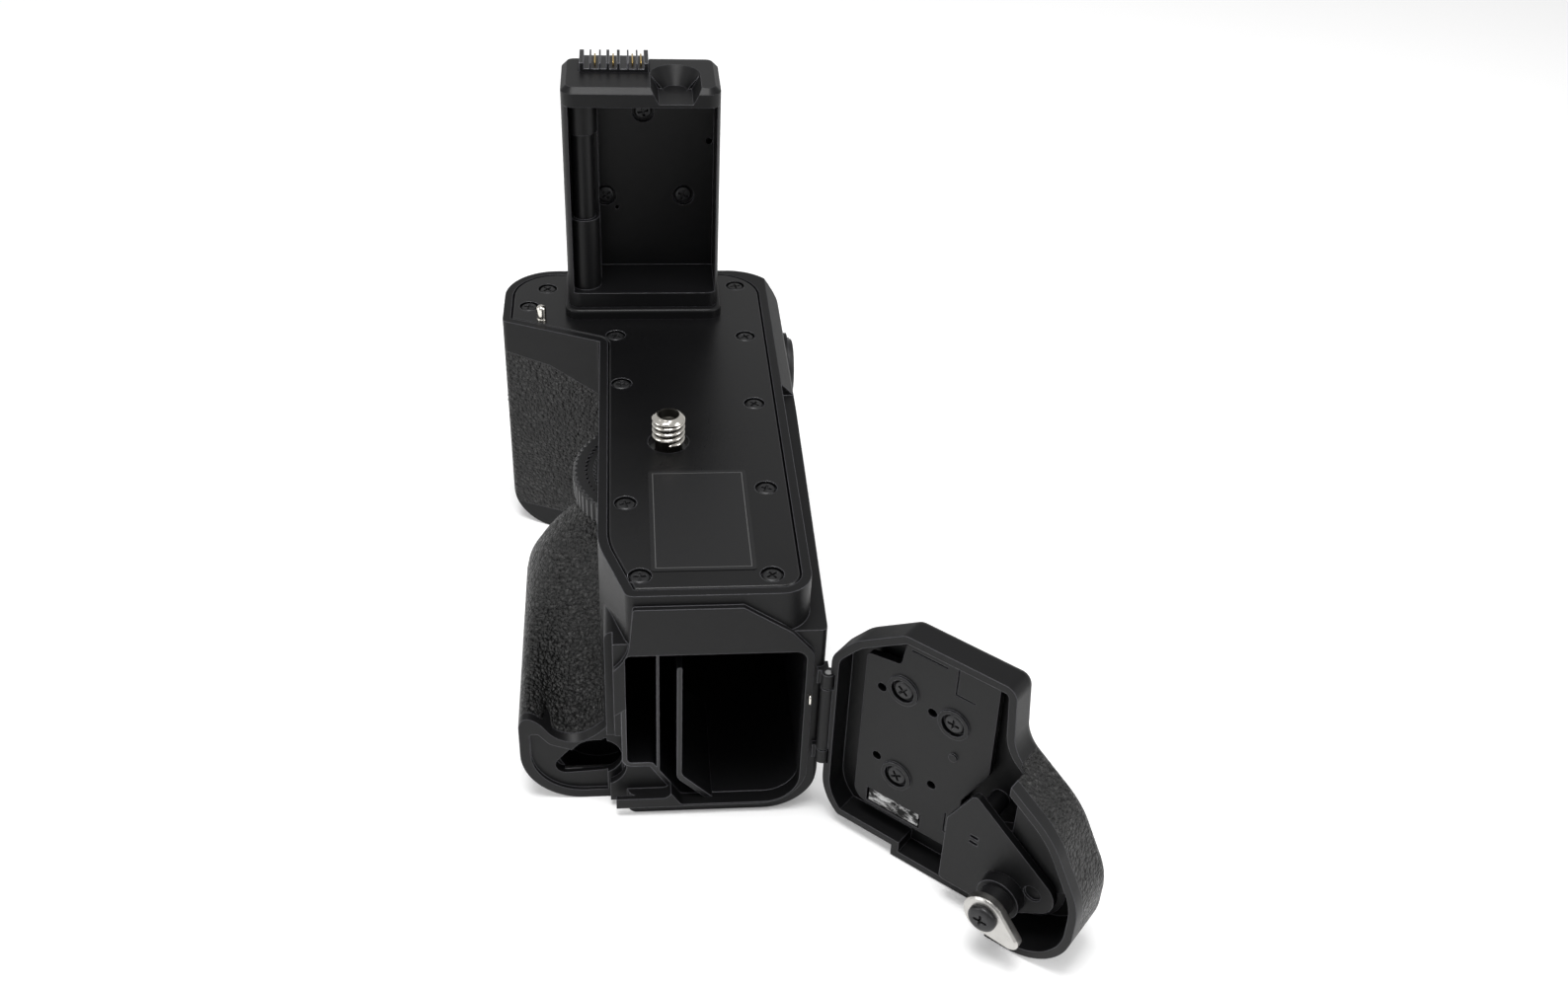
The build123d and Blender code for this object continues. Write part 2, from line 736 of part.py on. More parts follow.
    # Holes of the hinge clip's two legs
    with BuildSketch(end_plane.offset(near_x - 1.5)):
        with Locations((clip_y, clip_z - clip_half), (clip_y, clip_z + clip_half)):
            Circle(clip_r + fine)
    extrude(amount=1.5 + rim_stand + cut_over, mode=Mode.SUBTRACT)

# Deck plate with its screws, label and locating pin
with BuildPart() as deck_plate:
    with BuildSketch(Plane.XY.offset(-deck_plate_thick)):
        rounded_outline(*deck_corners(deck_rear_y, near_rear_round))
        offset(amount=-deck_rim - deck_gap)
    extrude(amount=deck_plate_thick)
    chamfer(deck_plate.faces().sort_by(Axis.Z)[-1].outer_wire().edges(), 0.3)
    with BuildSketch():
        with Locations(deck_screw_places):
            Circle(head_r + 0.25)
    extrude(amount=-head_thick - 0.1, mode=Mode.SUBTRACT)
    with BuildSketch():
        with Locations(deck_screw_places):
            Circle(shank_r + seat)
        with Locations((0, 0)):
            Circle(deck_hole_r)
        with Locations((pin_x, pin_y)):
            Circle(pin_root_r + fine)
    extrude(amount=-deck_plate_thick, mode=Mode.SUBTRACT)

with BuildPart() as deck_screws:
    cross_screw(Plane.XY, deck_screw_places, -head_thick - 0.1, 3.0)

with BuildPart() as label_plate:
    with BuildSketch():
        rounded_outline(
            (label_x0, label_y0, 0.6),
            (label_x1, label_y0, 0.6),
            (label_x1, label_y1, 0.6),
            (label_x0, label_y1, 0.6),
        )
    extrude(amount=label_thick)

with BuildPart() as locating_pin:
    rod(Plane.XY, pin_x, pin_y, pin_r, 0, pin_stand)
    rod(Plane.XY, pin_x, pin_y, pin_root_r, deck_under_z + 0.2, -deck_under_z - 0.2)
    fillet(locating_pin.faces().sort_by(Axis.Z)[-1].edges(), 0.7)

# Bearing of the tripod screw, the screw and its wheel
with BuildPart() as screw_bearing:
    rod(Plane.XY, 0, 0, bush_r, bush_bottom_z, -deck_plate_thick - 0.05 - bush_bottom_z)
    rod(Plane.XY, 0, 0, bush_r + 1.5, bush_bottom_z, deck_under_z - bush_bottom_z)
    rod(Plane.XY, 0, 0, screw_neck_r + run, bush_bottom_z, 8.0, mode=Mode.SUBTRACT)

with BuildPart() as tripod_screw:
    rod(Plane.XY, 0, 0, screw_neck_r, screw_bottom_z, -screw_bottom_z)
    rod(Plane.XY, 0, 0, thread_r, 0, thread_stand)
    rod(Plane.XY, 0, 0, screw_head_r, screw_bottom_z, screw_head_thick)
    chamfer(tripod_screw.faces().sort_by(Axis.Z)[-1].edges(), 0.5)
    rod(Plane.XY, 0, 0, 1.5, thread_stand - 1.2, 2.0, mode=Mode.SUBTRACT)

with BuildPart() as attachment_wheel:
    with BuildSketch(Plane.XY.offset(wheel_top_z - wheel_thick)):
        Circle(wheel_r)
        with PolarLocations(wheel_r + 0.15, wheel_flutes):
            Circle(flute_r, mode=Mode.SUBTRACT)
        Circle(screw_neck_r + fine, mode=Mode.SUBTRACT)
    extrude(amount=wheel_thick)
    with BuildSketch(Plane.XY.offset(wheel_top_z)):
        Circle(wheel_groove_r)
        Circle(wheel_disc_r, mode=Mode.SUBTRACT)
    extrude(amount=-0.6, mode=Mode.SUBTRACT)

# Battery plug: cradle, collar, cap, screws and terminals
with BuildPart() as plug_cradle:
    with BuildSketch():
        rounded_outline(*plug_base)
    extrude(amount=cap_z)
    block(
        trough_floor_x, plug_front_x + cut_over,
        trough_split_y, trough_rear_y,
        trough_bottom_z, cap_z + cut_over, mode=Mode.SUBTRACT,
    )
    block(
        column_back_x, plug_front_x + cut_over,
        trough_front_y, trough_split_y + cut_over,
        trough_bottom_z, cap_z + cut_over, mode=Mode.SUBTRACT,
    )
    rod(Plane.XY, column_x, column_y, column_waist_r, trough_bottom_z - 0.2, cap_z - trough_bottom_z + 0.2)
    rod(Plane.XY, column_x, column_y, column_r, trough_bottom_z - 0.2, lower_boss_top - trough_bottom_z + 0.2)
    rod(Plane.XY, column_x, column_y, column_r, upper_boss_bottom, cap_z - upper_boss_bottom)
    with BuildSketch(end_plane.offset(trough_floor_x)):
        with Locations(plug_screw_places):
            Circle(head_r + 0.5)
    extrude(amount=-head_thick - 0.1, mode=Mode.SUBTRACT)
    with BuildSketch(end_plane.offset(trough_floor_x)):
        with Locations(plug_screw_places):
            Circle(shank_r + fine)
        with Locations((10.2, 34.3)):
            Circle(0.7)
        with Locations((-9.2, 19.2)):
            Circle(0.45)
    extrude(amount=-4.0, mode=Mode.SUBTRACT)

with BuildPart() as plug_screws:
    cross_screw(end_plane, plug_screw_places, trough_floor_x - head_thick - 0.1, 2.9)

with BuildPart() as plug_collar:
    with BuildSketch():
        rounded_outline(
            (plug_front_x + 1.5, plug_rear_y + collar_out, 3.0),
            (plug_back_x - collar_out, plug_rear_y + collar_out, 3.0),
            (plug_back_x - collar_out, plug_front_y - collar_out, 3.0),
            (plug_front_x + 1.5, plug_front_y - collar_out, 3.0),
        )
    extrude(amount=collar_height)
    fillet(plug_collar.faces().sort_by(Axis.Z)[-1].edges(), 0.6)
    with BuildSketch():
        rounded_outline(*plug_base)
        offset(amount=fine)
    extrude(amount=collar_height, mode=Mode.SUBTRACT)

with BuildPart() as plug_cap:
    with BuildSketch(Plane.XY.offset(cap_z)):
        rounded_outline(*plug_base)
    extrude(amount=plug_cap_thick)
    chamfer(plug_cap.faces().sort_by(Axis.Z)[-1].edges(), 1.1)
    with BuildSketch(end_plane.offset(cup_x)):
        with BuildLine():
            Polyline(
                (cup_y - notch_half_top, plug_top_z + 0.1),
                (cup_y + notch_half_top, plug_top_z + 0.1),
                (cup_y + notch_half_low, plug_top_z - notch_depth),
                (cup_y - notch_half_low, plug_top_z - notch_depth),
                close=True,
            )
        make_face()
    extrude(amount=plug_front_x - cup_x + cut_over, mode=Mode.SUBTRACT)
    with Locations((cup_x, cup_y, plug_top_z - cup_depth / 2)):
        Cone(cup_floor_r, cup_r, cup_depth, mode=Mode.SUBTRACT)
    block(
        comb_back_x - seat, comb_front_x + seat,
        comb_y0 - seat, comb_y1 + seat,
        plug_top_z - comb_root, plug_top_z + cut_over, mode=Mode.SUBTRACT,
    )

with BuildPart() as terminal_block:
    block(comb_back_x, comb_front_x, comb_y0, comb_y1, plug_top_z - comb_root, plug_top_z + comb_base)
    for y, wide in comb_teeth:
        block(comb_back_x, comb_front_x, y - wide / 2, y + wide / 2, plug_top_z + comb_base, comb_tip_z)

with BuildPart() as terminal_contacts:
    for y in contact_blades:
        block(
            comb_back_x + 1.2, comb_front_x - 1.2,
            y - 0.25, y + 0.25,
            plug_top_z + comb_base, plug_top_z + comb_base + 0.9,
        )

# Battery bay: liner, guide, contacts and the boards behind it
with BuildPart() as bay_liner:
    add(liner_form.part)
    with BuildSketch(section_plane.offset(bay_inner_x)):
        rounded_outline(*bay_corners)
    extrude(amount=cavity_x1 - bay_inner_x, mode=Mode.SUBTRACT)
    block(30.0, cavity_x1, -3.4, -2.9, bay_left_floor_z - 2.6, bay_top_z + 0.2)

with BuildPart() as bay_guide:
    with BuildSketch(section_plane.offset(20.0)):
        rounded_outline(
            (0.2, bay_top_z - 4.5, 0.3),
            (1.1, bay_top_z - 4.5, 0.3),
            (1.1, bay_bottom_z + 6.0, 2.0),
            (6.8, bay_bottom_z, 0),
            (5.4, bay_bottom_z, 0),
            (0.2, bay_bottom_z + 5.2, 2.6),
        )
    extrude(amount=25.0)

with BuildPart() as bay_contact_block:
    with BuildSketch(section_plane.offset(bay_inner_x - 3.0)):
        rounded_outline(
            (-8.0, bay_top_z - 0.6, 1.0),
            (22.0, bay_top_z - 0.6, 1.0),
            (22.0, low + 4.0, 6.0),
            (-8.0, low + 4.0, 1.0),
        )
    extrude(amount=3.0)

with BuildPart() as bay_contacts:
    for y in (5.0, 9.0, 13.0, 17.0):
        block(bay_inner_x, bay_inner_x + 1.6, y - 1.1, y + 1.1, contact_z - 5.0, contact_z + 5.0)
    fillet(bay_contacts.edges().filter_by(Axis.Y), 0.7)

with BuildPart() as main_board:
    with BuildSketch(section_plane.offset(bay_inner_x - 4.6)):
        rounded_outline(
            (-9.0, bay_top_z - 0.1, 1.0),
            (21.4, bay_top_z - 0.1, 1.0),
            (21.4, low + 4.5, 6.0),
            (-9.0, low + 4.5, 1.0),
        )
    extrude(amount=1.6)

with BuildPart() as control_board:
    with BuildSketch(end_plane.offset(board_post_x - 1.2)):
        rounded_outline(
            (-30.0, -16.0, 1.5),
            (-12.0, -16.0, 1.5),
            (-12.0, low + 8.0, 1.5),
            (-30.0, low + 8.0, 1.5),
        )
        with Locations(board_post_places):
            Circle(shank_r + seat, mode=Mode.SUBTRACT)
    extrude(amount=1.2)

with BuildPart() as board_screws:
    cross_screw(end_back_plane, [(-y, z) for y, z in board_post_places], 1.2 - board_post_x, 4.0)

# Bottom cover with its screws and the lower tripod socket
with BuildPart() as bottom_cover:
    with BuildSketch(Plane.XY.offset(low)):
        rounded_outline(*cover_corners)
        offset(amount=-seat)
        with Locations((0, socket_y)):
            Circle(socket_r + run, mode=Mode.SUBTRACT)
    extrude(amount=cover_thick)
    with BuildSketch(Plane.XY.offset(low)):
        with Locations(cover_screw_places):
            Circle(head_r + 0.25)
    extrude(amount=head_thick + 0.1, mode=Mode.SUBTRACT)
    with BuildSketch(Plane.XY.offset(low)):
        with Locations(cover_screw_places):
            Circle(shank_r + seat)
    extrude(amount=cover_thick, mode=Mode.SUBTRACT)

with BuildPart() as cover_screws:
    cross_screw(bottom_plane, [(x, -y) for x, y in cover_screw_places], body_height - head_thick - 0.1, 5.0)

with BuildPart() as tripod_socket:
    rod(Plane.XY, 0, socket_y, socket_r, low, socket_deep)
    rod(Plane.XY, 0, socket_y, socket_r + 1.0, low + cover_thick, 0.8)
    rod(Plane.XY, 0, socket_y, thread_r, low, socket_deep, mode=Mode.SUBTRACT)

with BuildPart() as rear_pad:
    with BuildSketch(rear_plane.offset(-rear_y - pad_proud)):
        rounded_outline(*pad_corners)
        offset(amount=-0.1)
    extrude(amount=pad_seat + pad_proud)
    fillet(rear_pad.faces().sort_by(Axis.Y)[-1].edges(), 0.3)

# Controls of the far lobe
with BuildPart() as power_switch:
    with BuildSketch(end_plane.offset(switch_outer_x)):
        with Locations((shutter_y, shutter_z)):
            Circle(switch_r)
            Circle(switch_inner_r, mode=Mode.SUBTRACT)
    extrude(amount=switch_pocket_x - 0.3 - switch_outer_x)
    fillet(power_switch.faces().sort_by(Axis.X)[0].edges(), 0.4)
    block(switch_outer_x, far_x - 0.3, shutter_y - 1.8, shutter_y + 1.8, shutter_z + 6.4, shutter_z + 11.0)

with BuildPart() as shutter_button:
    rod(end_plane, shutter_y, shutter_z, shutter_r, far_x - shutter_proud, 3.0)
    fillet(shutter_button.faces().sort_by(Axis.X)[0].edges(), 0.9)
    rod(end_plane, shutter_y, shutter_z, shutter_stem_r, far_x - shutter_proud + 2.0, 5.0)

with BuildPart() as front_dial:
    with BuildSketch(end_plane.offset(dial_x - dial_thick / 2)):
        with Locations((front_dial_y, shutter_z)):
            Circle(dial_r)
            with PolarLocations(dial_r + 0.1, dial_flutes):
                Circle(0.4, mode=Mode.SUBTRACT)
            Circle(dial_axle_r + run, mode=Mode.SUBTRACT)
    extrude(amount=dial_thick)

with BuildPart() as front_dial_axle:
    rod(end_plane, front_dial_y, shutter_z, dial_axle_r, front_axle_x + 0.1, 8.3)

with BuildPart() as rear_dial:
    with BuildSketch(end_plane.offset(dial_x - dial_thick / 2)):
        with Locations((rear_dial_y, rear_dial_z)):
            Circle(dial_r)
            with PolarLocations(dial_r + 0.1, dial_flutes):
                Circle(0.4, mode=Mode.SUBTRACT)
            Circle(dial_axle_r + run, mode=Mode.SUBTRACT)
    extrude(amount=dial_thick)

with BuildPart() as rear_dial_axle:
    rod(end_plane, rear_dial_y, rear_dial_z, dial_axle_r, rear_axle_x + 0.1, 10.0)

with BuildPart() as focus_lever:
    with BuildSketch(rear_plane.offset(-lever_outer_y)):
        with Locations((lever_x, lever_z)):
            Circle(lever_r)
            Circle(lever_inner_r, mode=Mode.SUBTRACT)
    extrude(amount=lever_outer_y - rear_y - 0.7)
    fillet(focus_lever.faces().sort_by(Axis.Y)[-1].edges(), 0.4)
    block(
        lever_x - 10.5, lever_x - 4.4,
        lever_outer_y - 1.0, lever_outer_y + 0.4,
        lever_z - 1.6, lever_z + 1.6,
    )

with BuildPart() as focus_button:
    rod(rear_plane, lever_x, lever_z, focus_button_r, -lever_outer_y - 0.4, lever_outer_y + 0.4 - flange_in_y)
    fillet(focus_button.faces().sort_by(Axis.Y)[-1].edges(), 0.5)
    rod(rear_plane, lever_x, lever_z, focus_button_r + 0.8, -flange_in_y, flange_thick)

with BuildPart() as rear_custom_button:
    rod(rear_plane, rear_button_x, rear_button_z, button_r, -rear_y - 0.8, rear_y + 0.8 - flange_in_y)
    fillet(rear_custom_button.faces().sort_by(Axis.Y)[-1].edges(), 0.4)
    rod(rear_plane, rear_button_x, rear_button_z, button_r + 0.8, -flange_in_y, flange_thick)

with BuildPart() as end_custom_button:
    rod(end_plane, end_button_y, end_button_z, button_r, far_x - 0.8, wall + 0.8 + slip)
    fillet(end_custom_button.faces().sort_by(Axis.X)[0].edges(), 0.4)
    rod(end_plane, end_button_y, end_button_z, button_r + 0.8, cavity_x0 + slip, flange_thick)

# Hinge pin, and the wire clip beside it
with BuildPart() as hinge_pin:
    rod(Plane.XY, hinge_x, hinge_y, hinge_pin_r, hinge_bottom_z + 0.65, hinge_top_z - hinge_bottom_z - 0.7)

with BuildPart() as hinge_clip:
    rod(end_plane, clip_y, clip_z - clip_half, clip_r, near_x - 1.4, clip_x - near_x + 1.4)
    rod(end_plane, clip_y, clip_z + clip_half, clip_r, near_x - 1.4, clip_x - near_x + 1.4)
    rod(Plane.XY, clip_x - clip_r, clip_y, clip_r, clip_z - clip_half - clip_r, 2 * (clip_half + clip_r))

# Outer form of the battery door, on the plane that carries the open door
with BuildPart() as door_form:
    with BuildSketch(door_plane.offset(door_face_x)):
        rounded_outline(*door_corners())
    extrude(amount=door_outer_x - door_face_x)
    fillet(door_form.faces().sort_by(door_axis)[-1].edges(), door_edge_round)
    with BuildSketch(door_plane.offset(palm_back_x)):
        rounded_outline(*door_corners())
        with Locations((flange_y - 0.5 + 30.0, -25.0)):
            Rectangle(60.0, 80.0, mode=Mode.SUBTRACT)
    extrude(amount=door_face_x - palm_back_x)
    slab(
        door_plane, door_face_x - cut_over, door_outer_x + cut_over,
        door_notch_y, door_hinge_y + 2 * cut_over,
        door_bottom_z - cut_over, door_bottom_z + door_notch_rise, mode=Mode.SUBTRACT,
    )

# Leatherette on the palm end of the door
with BuildPart() as door_leather:
    add(door_form.part)
    with BuildSketch(door_plane.offset(palm_back_x + 2.2)):
        with Locations((-27.0, (low + 6.0) / 2)):
            Rectangle(30.0, body_height - 6.0)
    extrude(amount=12.0, mode=Mode.INTERSECT)
    skin_shift = door_along * skin - door_out * skin - Vector(0, 0, skin)
    add(door_form.part.moved(Location(skin_shift)), mode=Mode.SUBTRACT)
    rod(door_plane, latch_y, latch_z, knob_r + 1.2, palm_back_x, 12.0, mode=Mode.SUBTRACT)

with BuildPart() as door_shell:
    add(door_form.part)
    with BuildSketch(door_plane.offset(palm_back_x - cut_over)):
        rounded_outline(*door_corners())
        offset(amount=-door_wall)
        with Locations((door_notch_y - door_wall + 15.0, door_bottom_z + door_notch_rise + door_wall - 10.0)):
            Rectangle(30.0, 20.0, mode=Mode.SUBTRACT)
    extrude(amount=door_floor_x - palm_back_x + cut_over, mode=Mode.SUBTRACT)
    # Wall that closes the finger trough, seats of the plate and of the latch bracket
    with BuildSketch(door_plane.offset(trough_wall_x)):
        with BuildLine():
            Polyline(
                (-12.9, -16.3),
                (-20.4, low + 29.3),
                (-26.9, low + 17.8),
                (-24.3, low + 16.0),
                (-18.3, low + 11.5),
                (-12.9, low + 14.0),
                close=True,
            )
        make_face()
    extrude(amount=door_wall)
    with BuildSketch(door_plane.offset(plate_x + plate_thick)):
        with Locations(plate_screw_places):
            Circle(plate_boss_r)
    extrude(amount=door_floor_x - plate_x - plate_thick + 0.1)
    with BuildSketch(door_plane.offset(bracket_x + bracket_thick)):
        with Locations(bracket_post_places):
            Circle(post_r)
    extrude(amount=door_floor_x - bracket_x - bracket_thick + 0.1)
    # Ground, boss and pocket of the latch
    rod(door_plane, latch_y, latch_z, knob_r + 2.0, knob_floor_x - 1.3, door_floor_x - knob_floor_x + 1.4)
    add(door_leather.part, mode=Mode.SUBTRACT)
    rod(door_plane, latch_y, latch_z, latch_boss_r, boss_x, door_floor_x - boss_x)
    rod(door_plane, latch_y, latch_z, knob_r + slip, knob_floor_x, 6.0, mode=Mode.SUBTRACT)
    rod(door_plane, latch_y, latch_z, latch_stem_r + run, boss_x - cut_over, 14.0, mode=Mode.SUBTRACT)
    with BuildSketch(door_plane.offset(plate_x + plate_thick)):
        with Locations(plate_screw_places):
            Circle(shank_r + fine)
    extrude(amount=1.7, mode=Mode.SUBTRACT)
    # Knuckle between the body's two, with reliefs round those
    for z in (hinge_top_z - body_knuckle, hinge_bottom_z):
        rod(
            Plane.XY, hinge_x, hinge_y, knuckle_r + slip,
            z - slip, body_knuckle + 2 * slip, mode=Mode.SUBTRACT,
        )
    rod(Plane.XY, hinge_x, hinge_y, knuckle_r, door_knuckle_z, door_knuckle_high)
    slab(
        door_plane, hinge_x, hinge_x + 1.8,
        door_hinge_y - 0.8, hinge_y + 0.9,
        door_knuckle_z, door_knuckle_z + door_knuckle_high,
    )
    rod(
        Plane.XY, hinge_x, hinge_y, hinge_pin_r + run,
        hinge_bottom_z, hinge_top_z - hinge_bottom_z, mode=Mode.SUBTRACT,
    )

# Plate inside the door, with its screws and the sprung leaf
with BuildPart() as door_plate:
    with BuildSketch(door_plane.offset(plate_x)):
        rounded_outline(*plate_corners)
        with Locations(((leaf_y0 + leaf_y1) / 2, leaf_slot_z)):
            Rectangle(leaf_y1 - leaf_y0 + 0.8, 3.4, mode=Mode.SUBTRACT)
        with Locations(plate_hole_places):
            Circle(0.9, mode=Mode.SUBTRACT)
    extrude(amount=plate_thick)
    # Moulding lines round the catches of the plate
    with BuildSketch(door_plane.offset(plate_x)):
        with Locations((2.35, -6.2)):
            Rectangle(slit_wide, 6.0)
        with Locations((0.55, -9.05)):
            Rectangle(3.9, slit_wide)
        with Locations((1.05, leaf_slot_z + 3.35)):
            Rectangle(slit_wide, 4.7)
        with Locations((0.15, leaf_slot_z + 1.15)):
            Rectangle(2.1, slit_wide)
        with Locations((8.0, -4.45)):
            Rectangle(7.0, slit_wide)
    extrude(amount=slit_deep, mode=Mode.SUBTRACT)
    with BuildSketch(door_plane.offset(plate_x - 0.4)):
        with Locations(plate_screw_places):
            Circle(3.0)
        with Locations((1.2, low + 29.2)):
            Circle(0.8)
    extrude(amount=0.5)
    with BuildSketch(door_plane.offset(plate_x - 0.4)):
        with Locations(plate_screw_places):
            Circle(plate_head_r + 0.35)
    extrude(amount=0.9, mode=Mode.SUBTRACT)
    with BuildSketch(door_plane.offset(plate_x)):
        with Locations(plate_screw_places):
            Circle(shank_r + seat)
    extrude(amount=plate_thick, mode=Mode.SUBTRACT)

with BuildPart() as door_plate_screws:
    cross_screw(door_in_plane, [(-y, z) for y, z in plate_screw_places], -plate_x - 0.5, 1.8, plate_head_r, 0.7)

with BuildPart() as door_leaf:
    slab(door_plane, leaf_x, leaf_x + leaf_thick, leaf_y0, leaf_y1, leaf_slot_z - 1.4, leaf_slot_z + 1.4)
    slab(door_plane, leaf_x, door_floor_x, leaf_y0, leaf_y1, leaf_slot_z - 1.5, leaf_slot_z - 1.5 + leaf_thick)

# Latch of the door
with BuildPart() as latch_bracket:
    with BuildSketch(door_plane.offset(bracket_x)):
        rounded_outline(*bracket_corners)
        with Locations((latch_y, latch_z)):
            Circle(latch_boss_r + fine, mode=Mode.SUBTRACT)
    extrude(amount=bracket_thick)
    with BuildSketch(door_plane.offset(bracket_x)):
        with Locations(bracket_rivet):
            Circle(1.6)
        with Locations((-7.0, low + 19.0), (-7.0, low + 17.6)):
            Rectangle(1.6, 0.7)
    extrude(amount=0.5, mode=Mode.SUBTRACT)

with BuildPart() as latch_knob:
    rod(door_plane, latch_y, latch_z, knob_r, door_outer_x - knob_sink, knob_sink)
    fillet(latch_knob.faces().sort_by(door_axis)[-1].edges(), 0.4)
    slab(
        door_plane, door_outer_x - 0.1, door_outer_x + knob_bar,
        latch_y - 5.8, latch_y + 5.8,
        latch_z - 1.5, latch_z + 1.5,
    )
    rod(
        door_plane, latch_y, latch_z, latch_stem_r,
        cam_x + cam_thick, door_outer_x - knob_sink - cam_x - cam_thick + 0.1,
    )
    rod(door_plane, latch_y, latch_z, shank_r + fine, cam_x + cam_thick - 0.1, 3.0, mode=Mode.SUBTRACT)

with BuildPart() as latch_cam:
    with BuildSketch(door_plane.offset(cam_x)):
        with Locations((latch_y, latch_z)):
            Circle(cam_r)
        with Locations((cam_tip_y, cam_tip_z)):
            Circle(cam_tip_r)
        make_hull()
        with Locations((latch_y, latch_z)):
            Circle(shank_r + fine, mode=Mode.SUBTRACT)
    extrude(amount=cam_thick)
    chamfer(latch_cam.faces().sort_by(door_axis)[0].outer_wire().edges(), 0.35)

with BuildPart() as latch_screw:
    cross_screw(door_in_plane, [(-latch_y, latch_z)], -cam_x, 4.2, 2.6, 1.1)

with BuildPart() as latch_catch:
    with BuildSketch(end_plane.offset(cam_wall_x - catch_thick)):
        with Locations((latch_y, latch_z)):
            Circle(cam_reach + cam_tip_r + slip - fine)
        with Locations((latch_y, latch_z + 5.5)):
            Rectangle(30.0, 20.0, mode=Mode.SUBTRACT)
        with Locations((palm_inner_y, latch_z)):
            Rectangle(2 * (palm_inner_y - chamber_y + 0.4), 20.0, mode=Mode.SUBTRACT)
    extrude(amount=catch_thick)

main_housing.part.label = "main_housing"
export_step(main_housing.part, "parts/main_housing.step")
front_leather.part.label = "front_leather"
export_step(front_leather.part, "parts/front_leather.step")
deck_plate.part.label = "deck_plate"
export_step(deck_plate.part, "parts/deck_plate.step")
deck_screws.part.label = "deck_screws"
export_step(deck_screws.part, "parts/deck_screws.step")
label_plate.part.label = "label_plate"
export_step(label_plate.part, "parts/label_plate.step")
locating_pin.part.label = "locating_pin"
export_step(locating_pin.part, "parts/locating_pin.step")
screw_bearing.part.label = "screw_bearing"
export_step(screw_bearing.part, "parts/screw_bearing.step")
tripod_screw.part.label = "tripod_screw"
export_step(tripod_screw.part, "parts/tripod_screw.step")
attachment_wheel.part.label = "attachment_wheel"
export_step(attachment_wheel.part, "parts/attachment_wheel.step")
plug_cradle.part.label = "plug_cradle"
export_step(plug_cradle.part, "parts/plug_cradle.step")
plug_screws.part.label = "plug_screws"
export_step(plug_screws.part, "parts/plug_screws.step")
plug_collar.part.label = "plug_collar"
export_step(plug_collar.part, "parts/plug_collar.step")
plug_cap.part.label = "plug_cap"
export_step(plug_cap.part, "parts/plug_cap.step")
terminal_block.part.label = "terminal_block"
export_step(terminal_block.part, "parts/terminal_block.step")
terminal_contacts.part.label = "terminal_contacts"
export_step(terminal_contacts.part, "parts/terminal_contacts.step")
bay_liner.part.label = "bay_liner"
export_step(bay_liner.part, "parts/bay_liner.step")
bay_guide.part.label = "bay_guide"
export_step(bay_guide.part, "parts/bay_guide.step")
bay_contact_block.part.label = "bay_contact_block"
export_step(bay_contact_block.part, "parts/bay_contact_block.step")
bay_contacts.part.label = "bay_contacts"
export_step(bay_contacts.part, "parts/bay_contacts.step")
main_board.part.label = "main_board"
export_step(main_board.part, "parts/main_board.step")
control_board.part.label = "control_board"
export_step(control_board.part, "parts/control_board.step")
board_screws.part.label = "board_screws"
export_step(board_screws.part, "parts/board_screws.step")
bottom_cover.part.label = "bottom_cover"
export_step(bottom_cover.part, "parts/bottom_cover.step")
cover_screws.part.label = "cover_screws"
export_step(cover_screws.part, "parts/cover_screws.step")
tripod_socket.part.label = "tripod_socket"
export_step(tripod_socket.part, "parts/tripod_socket.step")
rear_pad.part.label = "rear_pad"
export_step(rear_pad.part, "parts/rear_pad.step")
power_switch.part.label = "power_switch"
export_step(power_switch.part, "parts/power_switch.step")
shutter_button.part.label = "shutter_button"
export_step(shutter_button.part, "parts/shutter_button.step")
front_dial.part.label = "front_dial"
export_step(front_dial.part, "parts/front_dial.step")
front_dial_axle.part.label = "front_dial_axle"
export_step(front_dial_axle.part, "parts/front_dial_axle.step")
rear_dial.part.label = "rear_dial"
export_step(rear_dial.part, "parts/rear_dial.step")
rear_dial_axle.part.label = "rear_dial_axle"
export_step(rear_dial_axle.part, "parts/rear_dial_axle.step")
focus_lever.part.label = "focus_lever"
export_step(focus_lever.part, "parts/focus_lever.step")
focus_button.part.label = "focus_button"
export_step(focus_button.part, "parts/focus_button.step")
rear_custom_button.part.label = "rear_custom_button"
export_step(rear_custom_button.part, "parts/rear_custom_button.step")
end_custom_button.part.label = "end_custom_button"
export_step(end_custom_button.part, "parts/end_custom_button.step")
hinge_pin.part.label = "hinge_pin"
export_step(hinge_pin.part, "parts/hinge_pin.step")
hinge_clip.part.label = "hinge_clip"
export_step(hinge_clip.part, "parts/hinge_clip.step")
door_shell.part.label = "door_shell"
export_step(door_shell.part, "parts/door_shell.step")
door_leather.part.label = "door_leather"
export_step(door_leather.part, "parts/door_leather.step")
door_plate.part.label = "door_plate"
export_step(door_plate.part, "parts/door_plate.step")
door_plate_screws.part.label = "door_plate_screws"
export_step(door_plate_screws.part, "parts/door_plate_screws.step")
door_leaf.part.label = "door_leaf"
export_step(door_leaf.part, "parts/door_leaf.step")
latch_bracket.part.label = "latch_bracket"
export_step(latch_bracket.part, "parts/latch_bracket.step")
latch_knob.part.label = "latch_knob"
export_step(latch_knob.part, "parts/latch_knob.step")
latch_cam.part.label = "latch_cam"
export_step(latch_cam.part, "parts/latch_cam.step")
latch_screw.part.label = "latch_screw"
export_step(latch_screw.part, "parts/latch_screw.step")
latch_catch.part.label = "latch_catch"
export_step(latch_catch.part, "parts/latch_catch.step")
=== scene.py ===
"""Looks of the camera battery grip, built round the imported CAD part.

The tripod screw stands on the origin, +X points to the battery door, +Z out of the deck and
-Y to the front. The frame is in metres. Sizes of the grip are written in millimetres, and MM
turns them into metres where they go into a mesh, a finish or a property.
"""

import math

